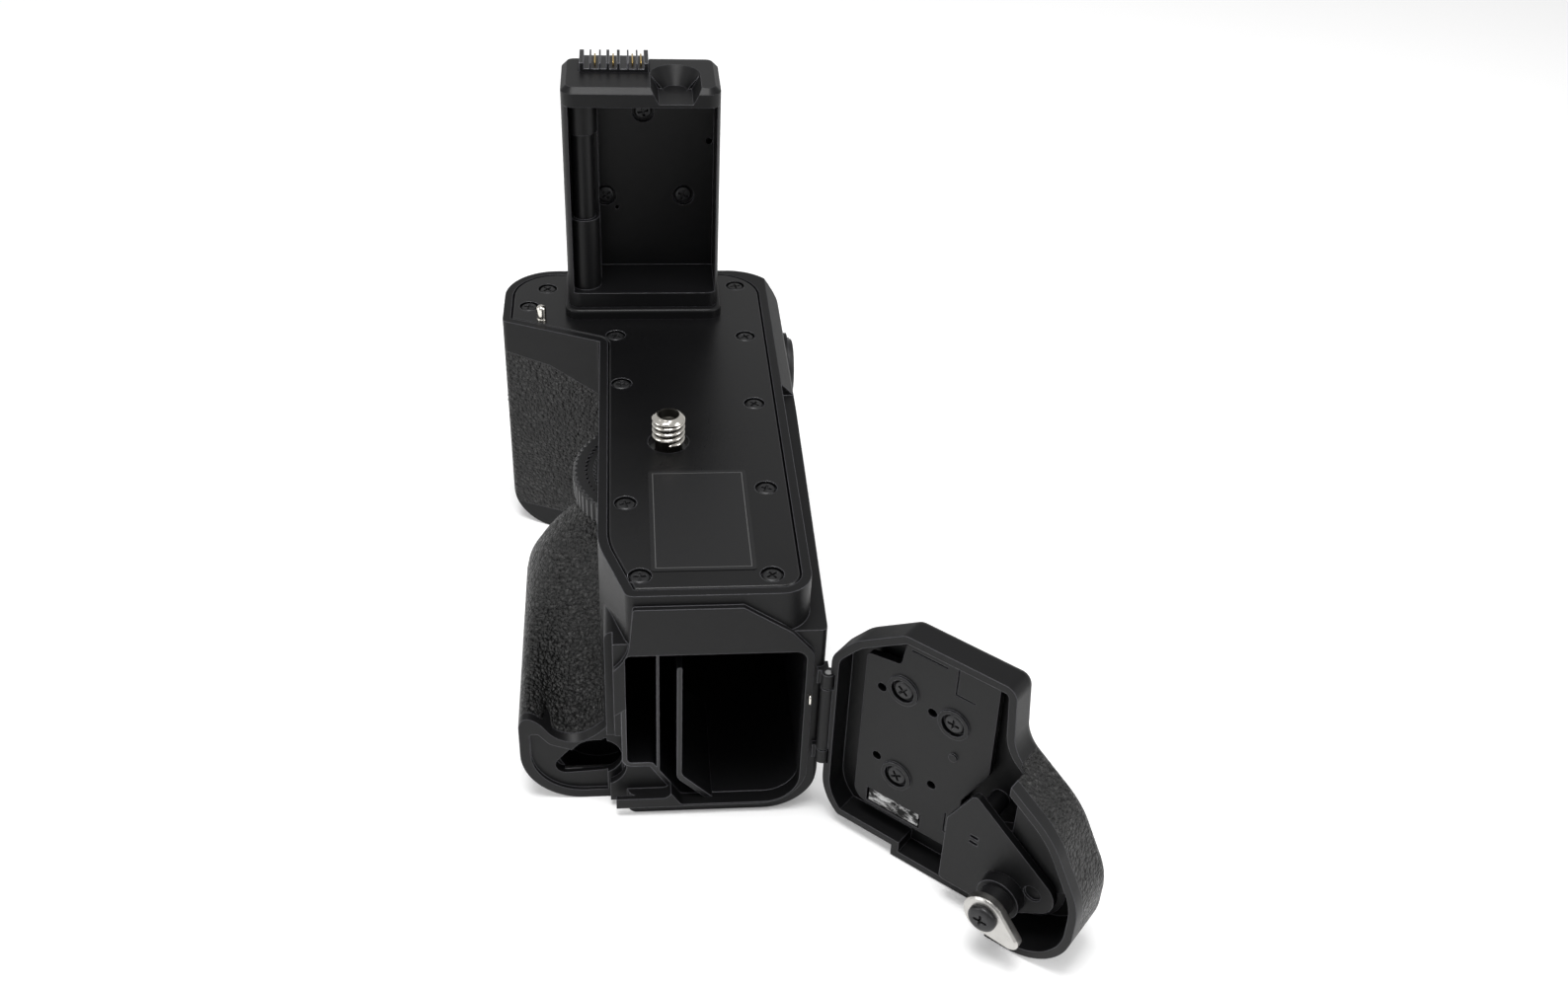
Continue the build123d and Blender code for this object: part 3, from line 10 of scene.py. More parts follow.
import bmesh
import bpy
from mathutils import Matrix, Vector


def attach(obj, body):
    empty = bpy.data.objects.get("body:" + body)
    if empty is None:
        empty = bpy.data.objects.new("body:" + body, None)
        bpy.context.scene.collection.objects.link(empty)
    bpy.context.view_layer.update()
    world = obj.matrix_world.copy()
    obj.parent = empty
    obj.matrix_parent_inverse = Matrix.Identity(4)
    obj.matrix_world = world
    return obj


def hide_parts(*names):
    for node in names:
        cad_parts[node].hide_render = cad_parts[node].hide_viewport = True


bl_info = {
    "name": "Camera battery grip",
    "version": (1, 0, 0),
    "blender": (4, 5, 0),
    "location": "View3D > Sidebar > Grip",
    "description": "Builds the finishes and fine pieces of a camera battery grip round its CAD part",
    "category": "Object",
}

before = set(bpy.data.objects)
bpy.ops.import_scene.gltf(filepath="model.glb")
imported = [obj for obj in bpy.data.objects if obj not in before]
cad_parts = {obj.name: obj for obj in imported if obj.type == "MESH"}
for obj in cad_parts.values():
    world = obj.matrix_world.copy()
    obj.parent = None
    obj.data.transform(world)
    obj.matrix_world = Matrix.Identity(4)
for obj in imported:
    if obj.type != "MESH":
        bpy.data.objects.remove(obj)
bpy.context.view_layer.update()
MM = 0.001

# Places that the small pieces share with the CAD part, in millimetres
DECK_SCREWS = (
    (40.2, -6.0), (40.5, 16.5), (15.4, 17.4), (19.4, -8.3), (-13.1, 17.3), (-20.9, -8.8),
    (-39.2, 17.3), (-39.9, -9.9), (-61.2, 16.5), (-60.2, -24.7), (-52.5, -28.4),
)
COVER_SCREWS = ((31.0, -8.0), (-31.0, -8.0), (-54.5, -6.0), (-54.5, 11.5))
PLUG_SCREWS = ((-11.6, 22.0), (4.9, 22.0), (-3.5, 40.7))
DOOR_SCREWS = ((12.2, -13.9), (2.0, -15.6), (11.6, -34.0))
FAR_X = -68.3
REAR_Y = 26.0
LOW_Z = -52.0
SHUTTER_YZ = (-19.0, -27.0)
FRONT_DIAL_YZ = (-25.7, -27.0)
REAR_DIAL_YZ = (17.9, -34.0)
DIAL_X = -59.8
LEVER_XZ = (-51.0, -15.0)
REAR_BUTTON_XZ = (-52.6, -28.0)
END_BUTTON_YZ = (1.0, -24.0)
LATCH_YZ = (-14.0, -41.5)
HINGE_XY = (47.2, 26.4)
PIN_XY = (-46.4, -25.5)
SOCKET_XY = (0.0, -6.2)
WHEEL_LOW_Z = -10.4
LABEL_X = (9.8, 39.2)
LABEL_Y = (-4.1, 14.0)
TERMINAL_XZ = (-60.9, 51.7)
TERMINAL_Y = (-13.0, -9.35, -5.5, -3.8)
SPRING_XZ = (-46.0, -33.9)
SPRING_Y = (5.0, 9.0, 13.0, 17.0)
SEAT_DEPTH = 0.9
PLUG_SEAT_X = -61.9
PLATE_SEAT_X = 49.3
LATCH_SEAT_X = 37.2

# The open door: its turn from shut, and where X, Y and the origin come to lie with it
DOOR_TURN = math.radians(138.5)
DOOR_OUT = Vector((math.cos(DOOR_TURN), math.sin(DOOR_TURN), 0))
DOOR_ALONG = Vector((-math.sin(DOOR_TURN), math.cos(DOOR_TURN), 0))
DOOR_ORIGIN = Vector((*HINGE_XY, 0)) - DOOR_OUT * HINGE_XY[0] - DOOR_ALONG * HINGE_XY[1]


def frame_of(x_dir, normal, origin):
    """Lays local X along x_dir and local Z along normal. The origin is in millimetres."""
    x = Vector(x_dir).normalized()
    z = Vector(normal).normalized()
    y = z.cross(x)
    matrix = Matrix((x, y, z)).transposed().to_4x4()
    matrix.translation = Vector(origin) * MM
    return matrix


def on_deck(x, y, z):
    """Faces up, out of the deck."""
    return frame_of((1, 0, 0), (0, 0, 1), (x, y, z))


def on_base(x, y, z):
    """Faces down, out of the underside."""
    return frame_of((1, 0, 0), (0, 0, -1), (x, y, z))


def on_near_side(x, y, z):
    """Faces the battery door."""
    return frame_of((0, 1, 0), (1, 0, 0), (x, y, z))


def on_far_end(x, y, z):
    """Faces away from the battery door."""
    return frame_of((0, -1, 0), (-1, 0, 0), (x, y, z))


def on_back(x, y, z):
    """Faces out of the rear wall."""
    return frame_of((-1, 0, 0), (0, 1, 0), (x, y, z))


def in_door(y, z, x):
    """Faces out of the open door's inner side, from a place given as it lies when the door is shut."""
    origin = DOOR_ORIGIN + DOOR_ALONG * y + DOOR_OUT * x + Vector((0, 0, z))
    return frame_of(-DOOR_ALONG, -DOOR_OUT, origin)


# Finishes


class Wire:
    """One output of a finish's nodes, for use in sums."""

    def __init__(self, finish, socket):
        self.finish = finish
        self.socket = socket

    def __add__(self, other):
        return self.finish.maths("ADD", self, other)

    def __sub__(self, other):
        return self.finish.maths("SUBTRACT", self, other)

    def __rsub__(self, other):
        return self.finish.maths("SUBTRACT", other, self)

    def __mul__(self, other):
        return self.finish.maths("MULTIPLY", self, other)

    def __gt__(self, other):
        return self.finish.maths("GREATER_THAN", self, other)

    def __pow__(self, other):
        return self.finish.maths("POWER", self, other)

    __radd__ = __add__
    __rmul__ = __mul__


class Finish:
    """A procedural material round one Principled shader."""

    def __init__(self, name):
        self.material = bpy.data.materials.new(name)
        self.material.use_nodes = True
        self.tree = self.material.node_tree
        self.tree.nodes.clear()
        self.shader = self.tree.nodes.new("ShaderNodeBsdfPrincipled")
        output = self.tree.nodes.new("ShaderNodeOutputMaterial")
        self.tree.links.new(self.shader.outputs["BSDF"], output.inputs["Surface"])

    def plug(self, socket, value):
        """Join a wire to a socket, or write a plain value into it."""
        if isinstance(value, Wire):
            self.tree.links.new(value.socket, socket)
        else:
            socket.default_value = value

    def node(self, kind, inputs=None, output=0, stops=None, **settings):
        """A node of any type, with its settings made first and then its sockets."""
        made = self.tree.nodes.new(kind)
        for key, value in settings.items():
            setattr(made, key, value)
        if stops:
            ramp = made.color_ramp
            for place, _ in stops[len(ramp.elements):]:
                ramp.elements.new(place)
            for element, (place, grey) in zip(ramp.elements, stops):
                element.position = place
                element.color = (grey, grey, grey, 1)
        for key, value in (inputs or {}).items():
            self.plug(made.inputs[key], value)
        return Wire(self, made.outputs[output])

    def maths(self, operation, first, second=0.0):
        """One Math node. The second value is left unused by operations that take one."""
        return self.node("ShaderNodeMath", {0: first, 1: second}, operation=operation)

    def set(self, **values):
        """Values or wires for the shader's sockets, with underscores for spaces."""
        for key, value in values.items():
            self.plug(self.shader.inputs[key.replace("_", " ")], value)

    def place(self, stretch=(1, 1, 1), turn=(0, 0, 0)):
        """Object coordinates, stretched and turned."""
        spot = self.node("ShaderNodeTexCoord", output="Object")
        if stretch == (1, 1, 1) and turn == (0, 0, 0):
            return spot
        return self.node("ShaderNodeMapping", {"Vector": spot, "Scale": stretch, "Rotation": turn})

    def axes(self):
        """The X, Y and Z of the object coordinates, in metres."""
        split = self.node("ShaderNodeSeparateXYZ", {0: self.place()})
        return [Wire(self, socket) for socket in split.socket.node.outputs]

    def noise(self, size, detail=2.0, place=None, rough=0.5):
        """Soft noise whose patches are about size millimetres wide."""
        inputs = {"Vector": place or self.place(), "Scale": 1 / (size * MM), "Detail": detail}
        return self.node("ShaderNodeTexNoise", {**inputs, "Roughness": rough})

    def ramp(self, value, *stops):
        """Greys that run through stops of (value, brightness)."""
        return self.node("ShaderNodeValToRGB", {"Fac": value}, stops=stops)

    def risen(self, value, low, high):
        """Zero up to low, one from high on and straight in between."""
        return self.node("ShaderNodeMapRange", {"Value": value, "From Min": low, "From Max": high})

    def mixed(self, share, first, second):
        """A colour between two colours."""
        made = self.tree.nodes.new("ShaderNodeMix")
        made.data_type = "RGBA"
        for key, value in (("Factor_Float", share), ("A_Color", first), ("B_Color", second)):
            socket = next(s for s in made.inputs if s.identifier == key)
            self.plug(socket, value)
        return Wire(self, next(s for s in made.outputs if s.identifier == "Result_Color"))

    def rounded(self, radius):
        """The surface direction with its corners rounded off by a radius in millimetres."""
        return self.node("ShaderNodeBevel", {"Radius": radius * MM}, samples=6)

    def edges(self, soft):
        """White along corners and black on flat ground, from how far the rounded direction leans."""
        level, leaning = 0.96, 0.8
        plain = self.node("ShaderNodeNewGeometry", output="Normal")
        agree = self.node(
            "ShaderNodeVectorMath", {0: soft, 1: plain}, output="Value", operation="DOT_PRODUCT",
        )
        return self.risen(agree, level, leaning)

    def relief(self, height, depth, base=None):
        """A bump whose full height is depth millimetres."""
        inputs = {"Height": height, "Distance": depth * MM}
        if base is not None:
            inputs["Normal"] = base
        return self.node("ShaderNodeBump", inputs)


def tint(colour, share):
    """A colour made lighter or darker."""
    return tuple(min(1.0, c * share) for c in colour[:3]) + (1.0,)


def moulded_plastic(name, colour, roughness, grain, depth, soft=0.3, gloss=0.22):
    """Moulded plastic with spark grain, faint flow marks, glossier corners and a painted highlight
    along the corners.
    """
    finish = Finish(name)
    corner = finish.rounded(soft)
    edge = finish.edges(corner)
    patches = finish.noise(26.0, 3.0)
    fine = finish.noise(grain, 3.0, rough=0.62)
    scuffs = finish.noise(2.6, 5.0, finish.place((1, 3.2, 1.7), (0.3, 0.2, 0.7)), 0.7)
    marks = finish.ramp(scuffs, (0.6, 0.0), (0.78, 1.0))
    shade = finish.mixed(patches, tint(colour, 0.82), tint(colour, 1.2))
    scuffed, painted_corner_highlight = tint(colour, 2.2), tint(colour, 48.0)
    shade = finish.mixed(marks * 0.22, shade, scuffed)
    # Corners painted much lighter: a painted highlight along every corner
    shade = finish.mixed(edge * 0.6, shade, painted_corner_highlight)
    rough = roughness + (fine - 0.5) * 0.16 + (patches - 0.5) * 0.1 - edge * 0.2 - marks * 0.06
    finish.set(
        Base_Color=shade, Roughness=rough, Specular_IOR_Level=gloss,
        Normal=finish.relief(fine, depth, corner),
    )
    return finish.material


def pebbled_leatherette(name, colour, pebble):
    """Rubbery leatherette pressed with fine pebbles, painted darker in the hollows and lighter on the
    tops, with glossier tops of which some carry painted glints.
    """
    finish = Finish(name)
    corner = finish.rounded(0.3)
    wander = finish.noise(pebble * 2.2, 1.0)
    half = pebble * 0.5 * MM
    shift = finish.node("ShaderNodeVectorMath", {0: wander, "Scale": half}, operation="SCALE")
    spot = finish.node("ShaderNodeVectorMath", {0: finish.place(), 1: shift}, operation="ADD")
    large = {"Vector": spot, "Scale": 1 / (pebble * MM)}
    small = {"Vector": spot, "Scale": 1.9 / (pebble * MM)}
    steep = 1.35
    domes = 1.0 - (finish.node("ShaderNodeTexVoronoi", large, output="Distance") * steep) ** 2.0
    grains = 1.0 - (finish.node("ShaderNodeTexVoronoi", small, output="Distance") * steep) ** 2.0
    skin = finish.noise(0.11, 2.0)
    height = domes + grains * 0.45 + skin * 0.12
    tops = finish.ramp(domes, (0.35, 0.0), (0.9, 1.0))
    chance = finish.node("ShaderNodeTexVoronoi", large, output="Color")
    glossy_and_glinting = finish.ramp(chance, (0.45, 0.0), (0.85, 1.0)) * tops
    wear_and_glint = finish.noise(17.0, 2.0)
    # Painted shade: pebble hollows darker and tops lighter
    shade = finish.mixed(tops, tint(colour, 0.35), tint(colour, 1.2))
    # Painted glints: some glossier pebble tops painted much lighter, more so in patches
    shade = finish.mixed(glossy_and_glinting * wear_and_glint, shade, tint(colour, 8.0))
    rough = 0.46 - glossy_and_glinting * 0.22 + (skin - 0.5) * 0.16 + (wear_and_glint - 0.5) * 0.12
    finish.set(
        Base_Color=shade, Roughness=rough, Specular_IOR_Level=0.34,
        Normal=finish.relief(height, pebble * 0.36, corner),
    )
    return finish.material


def plated_metal(name, colour, roughness, streak=(1, 1, 1), soft=0.08):
    """Bright metal with fine rubbing marks and slightly dulled patches."""
    finish = Finish(name)
    corner = finish.rounded(soft)
    haze = finish.noise(1.6, 4.0)
    lines = finish.noise(0.12, 3.0, finish.place(streak), 0.7)
    shade = finish.mixed(haze, tint(colour, 0.8), tint(colour, 1.08))
    rough = roughness + (haze - 0.5) * 0.16 + (lines - 0.5) * 0.12
    finish.set(
        Base_Color=shade, Metallic=1.0, Roughness=rough,
        Normal=finish.relief(lines, 0.0016, corner),
    )
    return finish.material


def cut_thread(name, colour, root, crest):
    """Bright metal on the thread's crests, with painted shade in its roots and in the recess."""
    finish = Finish(name)
    corner = finish.rounded(0.06)
    recess, rim, rim_z = 2.0, 2.05, 5.4
    x, y, z = finish.axes()
    reach = (x * x + y * y) ** 0.5
    ridge = finish.risen(reach, root * MM, crest * MM)
    top = finish.risen(reach, recess * MM, rim * MM) * (z > rim_z * MM)
    bright = finish.maths("MAXIMUM", ridge, top)
    haze = finish.noise(0.8, 4.0)
    shade = finish.mixed(haze, tint(colour, 0.82), tint(colour, 1.05))
    # Painted shade: roots and recess near black, crests and rim bright metal
    shade = finish.mixed(bright, (0.03, 0.028, 0.025, 1), shade)
    finish.set(
        Base_Color=shade, Metallic=1.0, Roughness=0.46 - bright * 0.3 + (haze - 0.5) * 0.12,
        Normal=finish.relief(haze, 0.002, corner),
    )
    return finish.material


def scuffed_metal(name, colour, dark):
    """Thin dull metal with rubbed bright patches."""
    finish = Finish(name)
    corner = finish.rounded(0.06)
    patches = finish.noise(2.4, 5.0, finish.place((1, 1, 2.2)), 0.72)
    rubbed = finish.ramp(patches, (0.46, 0.0), (0.62, 1.0))
    lines = finish.noise(0.15, 3.0, finish.place((1, 1, 7)))
    finish.set(
        Base_Color=finish.mixed(rubbed, dark, colour), Metallic=0.9,
        Roughness=0.5 - rubbed * 0.2 + (lines - 0.5) * 0.2,
        Normal=finish.relief(patches + lines * 0.3, 0.03, corner),
    )
    return finish.material


def blackened_steel(name, colour):
    """Black plated screws, glossier on the corners and lighter in patches along them."""
    finish = Finish(name)
    corner = finish.rounded(0.07)
    edge = finish.edges(corner)
    haze = finish.noise(0.5, 4.0)
    shade = finish.mixed(haze, tint(colour, 0.7), tint(colour, 1.4))
    shade = finish.mixed(edge * haze, shade, tint(colour, 5.0))
    finish.set(
        Base_Color=shade, Metallic=0.55, Roughness=0.3 + haze * 0.16 - edge * 0.08,
        Normal=finish.relief(haze, 0.004, corner),
    )
    return finish.material


def circuit_board(name, colour):
    """Green lacquer over copper tracks."""
    finish = Finish(name)
    block = 4.0
    upright = finish.place(turn=(0, math.pi / 2, 0))
    inputs = {"Vector": upright, "Scale": 1 / (block * MM), "Mortar Size": 0.04}
    tracks = finish.node("ShaderNodeTexBrick", inputs, output="Fac")
    haze = finish.noise(3.0, 3.0)
    shade = finish.mixed(haze, tint(colour, 0.8), tint(colour, 1.2))
    shade = finish.mixed(tracks * 0.7, shade, tint(colour, 2.4))
    finish.set(Base_Color=shade, Roughness=0.28 + haze * 0.12, Normal=finish.relief(tracks, 0.02))
    return finish.material


def ribbed_rubber(name, colour):
    """Rubber pad with fine slanting ribs, with painted shade in their grooves."""
    finish = Finish(name)
    corner = finish.rounded(0.25)
    rib, slant = 1.1, 0.7
    # The Wave node turns 20 radians to the unit, so a band takes 0.31 units
    inputs = {"Vector": finish.place(turn=(0, slant, 0)), "Scale": 0.31 / (rib * MM)}
    ribs = finish.node(
        "ShaderNodeTexWave", inputs, wave_type="BANDS", bands_direction="X", wave_profile="SIN",
    )
    skin = finish.noise(0.2, 2.0)
    patches = finish.noise(14.0, 2.0)
    # Painted shade: rib grooves darker and crests lighter
    shade = finish.mixed(ribs, tint(colour, 0.6), tint(colour, 1.3))
    finish.set(
        Base_Color=shade, Roughness=0.62 + (skin - 0.5) * 0.18 + (patches - 0.5) * 0.1,
        Specular_IOR_Level=0.35, Normal=finish.relief(ribs + skin * 0.15, 0.12, corner),
    )
    return finish.material


def bare_label(name, colour, line_colour):
    """Bare satin film with one thin frame line and nothing written on it."""
    finish = Finish(name)
    inset, width = 0.9, 0.14
    beyond = []
    for spot, (low, high) in zip(finish.axes(), (LABEL_X, LABEL_Y)):
        from_middle = finish.maths("ABSOLUTE", spot - (low + high) / 2 * MM)
        beyond.append(from_middle - ((high - low) / 2 - inset) * MM)
    outside = finish.maths("MAXIMUM", *beyond)
    line = (outside > 0.0) * (1.0 - (outside > width * MM))
    haze = finish.noise(0.4, 4.0)
    shade = finish.mixed(haze, tint(colour, 0.85), tint(colour, 1.2))
    shade = finish.mixed(line * 0.8, shade, line_colour)
    finish.set(
        Base_Color=shade, Roughness=0.34 + haze * 0.12, Specular_IOR_Level=0.4,
        Normal=finish.relief(haze, 0.003),
    )
    return finish.material


def stage_floor(name, colour):
    """Plain pale studio floor."""
    finish = Finish(name)
    haze = finish.noise(180.0, 2.0)
    finish.set(
        Base_Color=finish.mixed(haze, tint(colour, 0.985), tint(colour, 1.0)), Roughness=0.9,
        Specular_IOR_Level=0.1, Emission_Color=(1, 1, 1, 1), Emission_Strength=0.16,
    )
    return finish.material


# Mesh helpers


def shaped(name, edit, body, finish, nodes=(), crease=30.0):
    """Turn a bmesh into a piece that rides on a body and stands for CAD nodes.

    Faces that meet at more than crease degrees keep a sharp edge.
    """
    bmesh.ops.recalc_face_normals(edit, faces=edit.faces)
    if "placed" in edit.verts.layers.int:
        edit.verts.layers.int.remove(edit.verts.layers.int["placed"])
    mesh = bpy.data.meshes.new(name)
    edit.to_mesh(mesh)
    edit.free()
    for polygon in mesh.polygons:
        polygon.use_smooth = True
    mesh.set_sharp_from_angle(angle=math.radians(crease))
    piece = bpy.data.objects.new(name, mesh)
    bpy.context.scene.collection.objects.link(piece)
    mesh.materials.append(finish_named(finish))
    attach(piece, body)
    if nodes:
        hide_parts(*nodes)


def dress(finish, *nodes):
    """Give CAD nodes that stay visible a finish."""
    for name in nodes:
        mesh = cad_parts[name].data
        mesh.materials.clear()
        mesh.materials.append(finish_named(finish))


def turned(edit, outline, steps, matrix=None):
    """Turn an outline of (radius, height) points, in millimetres, round local Z."""
    verts = [edit.verts.new((r * MM, 0, z * MM)) for r, z in outline]
    edges = [edit.edges.new(pair) for pair in zip(verts, verts[1:])]
    bmesh.ops.spin(
        edit, geom=verts + edges, cent=(0, 0, 0), axis=(0, 0, 1), dvec=(0, 0, 0),
        angle=math.tau, steps=steps, use_merge=True, use_duplicate=False,
    )
    bmesh.ops.remove_doubles(edit, verts=loose_verts(edit), dist=1e-7)
    settle(edit, matrix)


def fresh_mesh():
    """A bmesh that remembers which of its vertices are in their place."""
    edit = bmesh.new()
    edit.verts.layers.int.new("placed")
    return edit


def loose_verts(edit):
    """The vertices made since the last call of settle."""
    placed = edit.verts.layers.int["placed"]
    return [v for v in edit.verts if not v[placed]]


def settle(edit, matrix=None):
    """Move what was made since the last call to its place, and mark it as placed."""
    new = loose_verts(edit)
    if matrix is not None:
        bmesh.ops.transform(edit, matrix=matrix, verts=new)
    placed = edit.verts.layers.int["placed"]
    for vert in new:
        vert[placed] = 1


def ring_edges(verts):
    """Edges that join the given vertices."""
    chosen = set(verts)
    return [e for v in verts for e in v.link_edges if e.other_vert(v) in chosen and e.verts[0] == v]


def drawn_out(edit, edges, shift=(0, 0, 0), scale=1.0):
    """Extrude edges, scale the new ones about local Z, shift them by millimetres and return them."""
    made = bmesh.ops.extrude_edge_only(edit, edges=edges)
    verts = [g for g in made["geom"] if isinstance(g, bmesh.types.BMVert)]
    new = [g for g in made["geom"] if isinstance(g, bmesh.types.BMEdge)]
    chosen = set(verts)
    loop = [e for e in new if e.verts[0] in chosen and e.verts[1] in chosen]
    bmesh.ops.scale(edit, vec=(scale, scale, 1), verts=verts)
    bmesh.ops.translate(edit, vec=Vector(shift) * MM, verts=verts)
    return loop


def cross_outline(edit, long, wide, height):
    """The twelve sided outline of a cross recess, as edges."""
    a, b = long / 2 * MM, wide / 2 * MM
    quarter = [(a, -b), (a, b), (b, b)]
    points = []
    for turn in range(4):
        c, s = (1, 0, -1, 0)[turn], (0, 1, 0, -1)[turn]
        points += [(x * c - y * s, x * s + y * c) for x, y in quarter]
    verts = [edit.verts.new((x, y, height * MM)) for x, y in points]
    return [edit.edges.new((verts[i - 1], verts[i])) for i in range(len(verts))]


def cross_head_screw(edit, matrix, radius, thick, shank=1.6, long=2.3, wide=0.5, deep=0.5):
    """A cross recessed pan head whose top lies thick above local zero, with its shank below."""
    flat = radius * 0.66
    straight = 0.35
    taper = 0.72
    shank_r = 0.9
    circle = bmesh.ops.create_circle(edit, cap_ends=False, radius=flat * MM, segments=40)
    bmesh.ops.translate(edit, vec=(0, 0, thick * MM), verts=circle["verts"])
    rim = ring_edges(circle["verts"])
    recess = cross_outline(edit, long, wide, thick)
    bmesh.ops.triangle_fill(
        edit, edges=rim + recess, use_beauty=True, use_dissolve=False, normal=(0, 0, 1),
    )
    bottom = drawn_out(edit, recess, (0, 0, -deep), taper)
    bmesh.ops.edgeloop_fill(edit, edges=bottom)
    last_r, last_z = flat, thick
    for share in (0.35, 0.62, 0.82, 0.95, 1.0):
        r = flat + (radius - flat) * share
        z = thick * (straight + (1 - straight) * math.sqrt(1 - share * share))
        rim = drawn_out(edit, rim, (0, 0, z - last_z), r / last_r)
        last_r, last_z = r, z
    rim = drawn_out(edit, rim, (0, 0, -last_z))
    rim = drawn_out(edit, rim, scale=shank_r / radius)
    rim = drawn_out(edit, rim, (0, 0, -shank))
    bmesh.ops.edgeloop_fill(edit, edges=rim)
    settle(edit, matrix)


def thread(edit, core, crest, pitch, turns, start, inward=False):
    """A helical ridge on a core, or inside a bore, from start upwards, in millimetres.

    The outline holds radii and shares of the pitch. On a core the ridge runs out at both ends.
    """
    steps = 30
    sunk, run_out = 0.12, 0.32
    root = core + sunk if inward else core - sunk
    near_crest = crest + (root - crest) * 0.18
    outline = (
        (root, 0.06), (near_crest, 0.3), (crest, 0.42), (crest, 0.52), (near_crest, 0.64), (root, 0.88),
    )
    verts = [edit.verts.new((r * MM, 0, (start + z * pitch) * MM)) for r, z in outline]
    edges = [edit.edges.new((verts[i - 1], verts[i])) for i in range(len(verts))]
    bmesh.ops.spin(
        edit, geom=verts + edges, cent=(0, 0, 0), axis=(0, 0, 1), dvec=(0, 0, pitch / steps * MM),
        angle=math.tau * turns, steps=int(turns * steps), use_merge=False, use_duplicate=False,
    )
    new = loose_verts(edit)
    open_edges = [e for e in edit.edges if e.is_boundary]
    bmesh.ops.holes_fill(edit, edges=open_edges, sides=len(outline))
    if inward:
        return
    proud = [v for v in new if v.co.to_2d().length > (core + 0.02) * MM]
    lowest = min(v.co.z for v in proud)
    highest = max(v.co.z for v in proud)
    for vert in proud:
        risen = min(vert.co.z - lowest, highest - vert.co.z) / (pitch * run_out * MM)
        if risen < 1.0:
            flat = vert.co.to_2d()
            vert.co.xy = flat.normalized() * (core * MM + (flat.length - core * MM) * risen)


def knurled_disc(edit, matrix, radius, tooth, teeth, thick, hole, chamfer, groove=None):
    """A disc with teeth round its rim, chamfered edges and a hole, from local zero up.

    A groove in its top is given by its outer radius, its inner radius and its depth.
    """
    circle = bmesh.ops.create_circle(edit, cap_ends=False, radius=radius * MM, segments=teeth * 4)
    verts = circle["verts"]
    order = sorted(verts, key=lambda v: math.atan2(v.co.y, v.co.x))
    valleys = [v for i, v in enumerate(order) if i % 4 in (2, 3)]
    share = (radius - tooth) / radius
    bmesh.ops.scale(edit, vec=(share, share, 1), verts=valleys)
    bottom = ring_edges(verts)
    chamfered = radius - chamfer
    inner_low = drawn_out(edit, bottom, (0, 0, -chamfer), chamfered / radius)
    top = drawn_out(edit, bottom, (0, 0, thick - 2 * chamfer))
    inner_top = drawn_out(edit, top, (0, 0, chamfer), chamfered / radius)
    land, slope, hole_edge = 0.3, 0.15, 0.3
    within_teeth = chamfered - tooth - land
    steps = [(within_teeth, 0.0)]
    if groove:
        outer, inner, depth = groove
        steps += [(outer, 0.0), (outer - slope, -depth), (inner + slope, -depth), (inner, 0.0)]
    steps += [(hole + hole_edge, 0.0), (hole, -hole_edge)]
    last_r, last_z = chamfered, 0.0
    for r, z in steps:
        inner_top = drawn_out(edit, inner_top, (0, 0, z - last_z), r / last_r)
        last_r, last_z = r, z
    inner_low = drawn_out(edit, inner_low, scale=within_teeth / chamfered)
    inner_low = drawn_out(edit, inner_low, scale=hole / within_teeth)
    bmesh.ops.bridge_loops(edit, edges=inner_top + inner_low)
    settle(edit, matrix @ Matrix.Translation((0, 0, chamfer * MM)))


def slab(edit, matrix, size, round_by, segments=2):
    """A bar with rounded corners, centred on local zero. Its sizes are millimetres."""
    made = bmesh.ops.create_cube(edit, size=1.0)
    bmesh.ops.scale(edit, vec=Vector(size) * MM, verts=made["verts"])
    bmesh.ops.bevel(
        edit, geom=ring_edges(made["verts"]), offset=round_by * MM, offset_type="OFFSET",
        affect="EDGES", segments=segments, profile=0.5, material=-1, clamp_overlap=True,
    )
    settle(edit, matrix)


def wire_piece(name, points, radius, body, finish, nodes):
    """A piece of bent wire along the given points, in millimetres."""
    curve = bpy.data.curves.new(name, "CURVE")
    curve.dimensions = "3D"
    curve.bevel_depth = radius * MM
    curve.bevel_resolution = 3
    curve.use_fill_caps = True
    spline = curve.splines.new("NURBS")
    spline.points.add(len(points) - 1)
    for point, place in zip(spline.points, points):
        point.co = (*(Vector(place) * MM), 1)
    spline.order_u = 3
    spline.use_endpoint_u = True
    spline.resolution_u = 6
    shape = bpy.data.objects.new(name + ".path", curve)
    mesh = bpy.data.meshes.new_from_object(shape)
    bpy.data.objects.remove(shape)
    edit = bmesh.new()
    edit.from_mesh(mesh)
    bmesh.ops.remove_doubles(edit, verts=edit.verts, dist=1e-7)
    bpy.data.meshes.remove(mesh)
    shaped(name, edit, body, finish, nodes, crease=50)


# Sizes and colours that a user would change


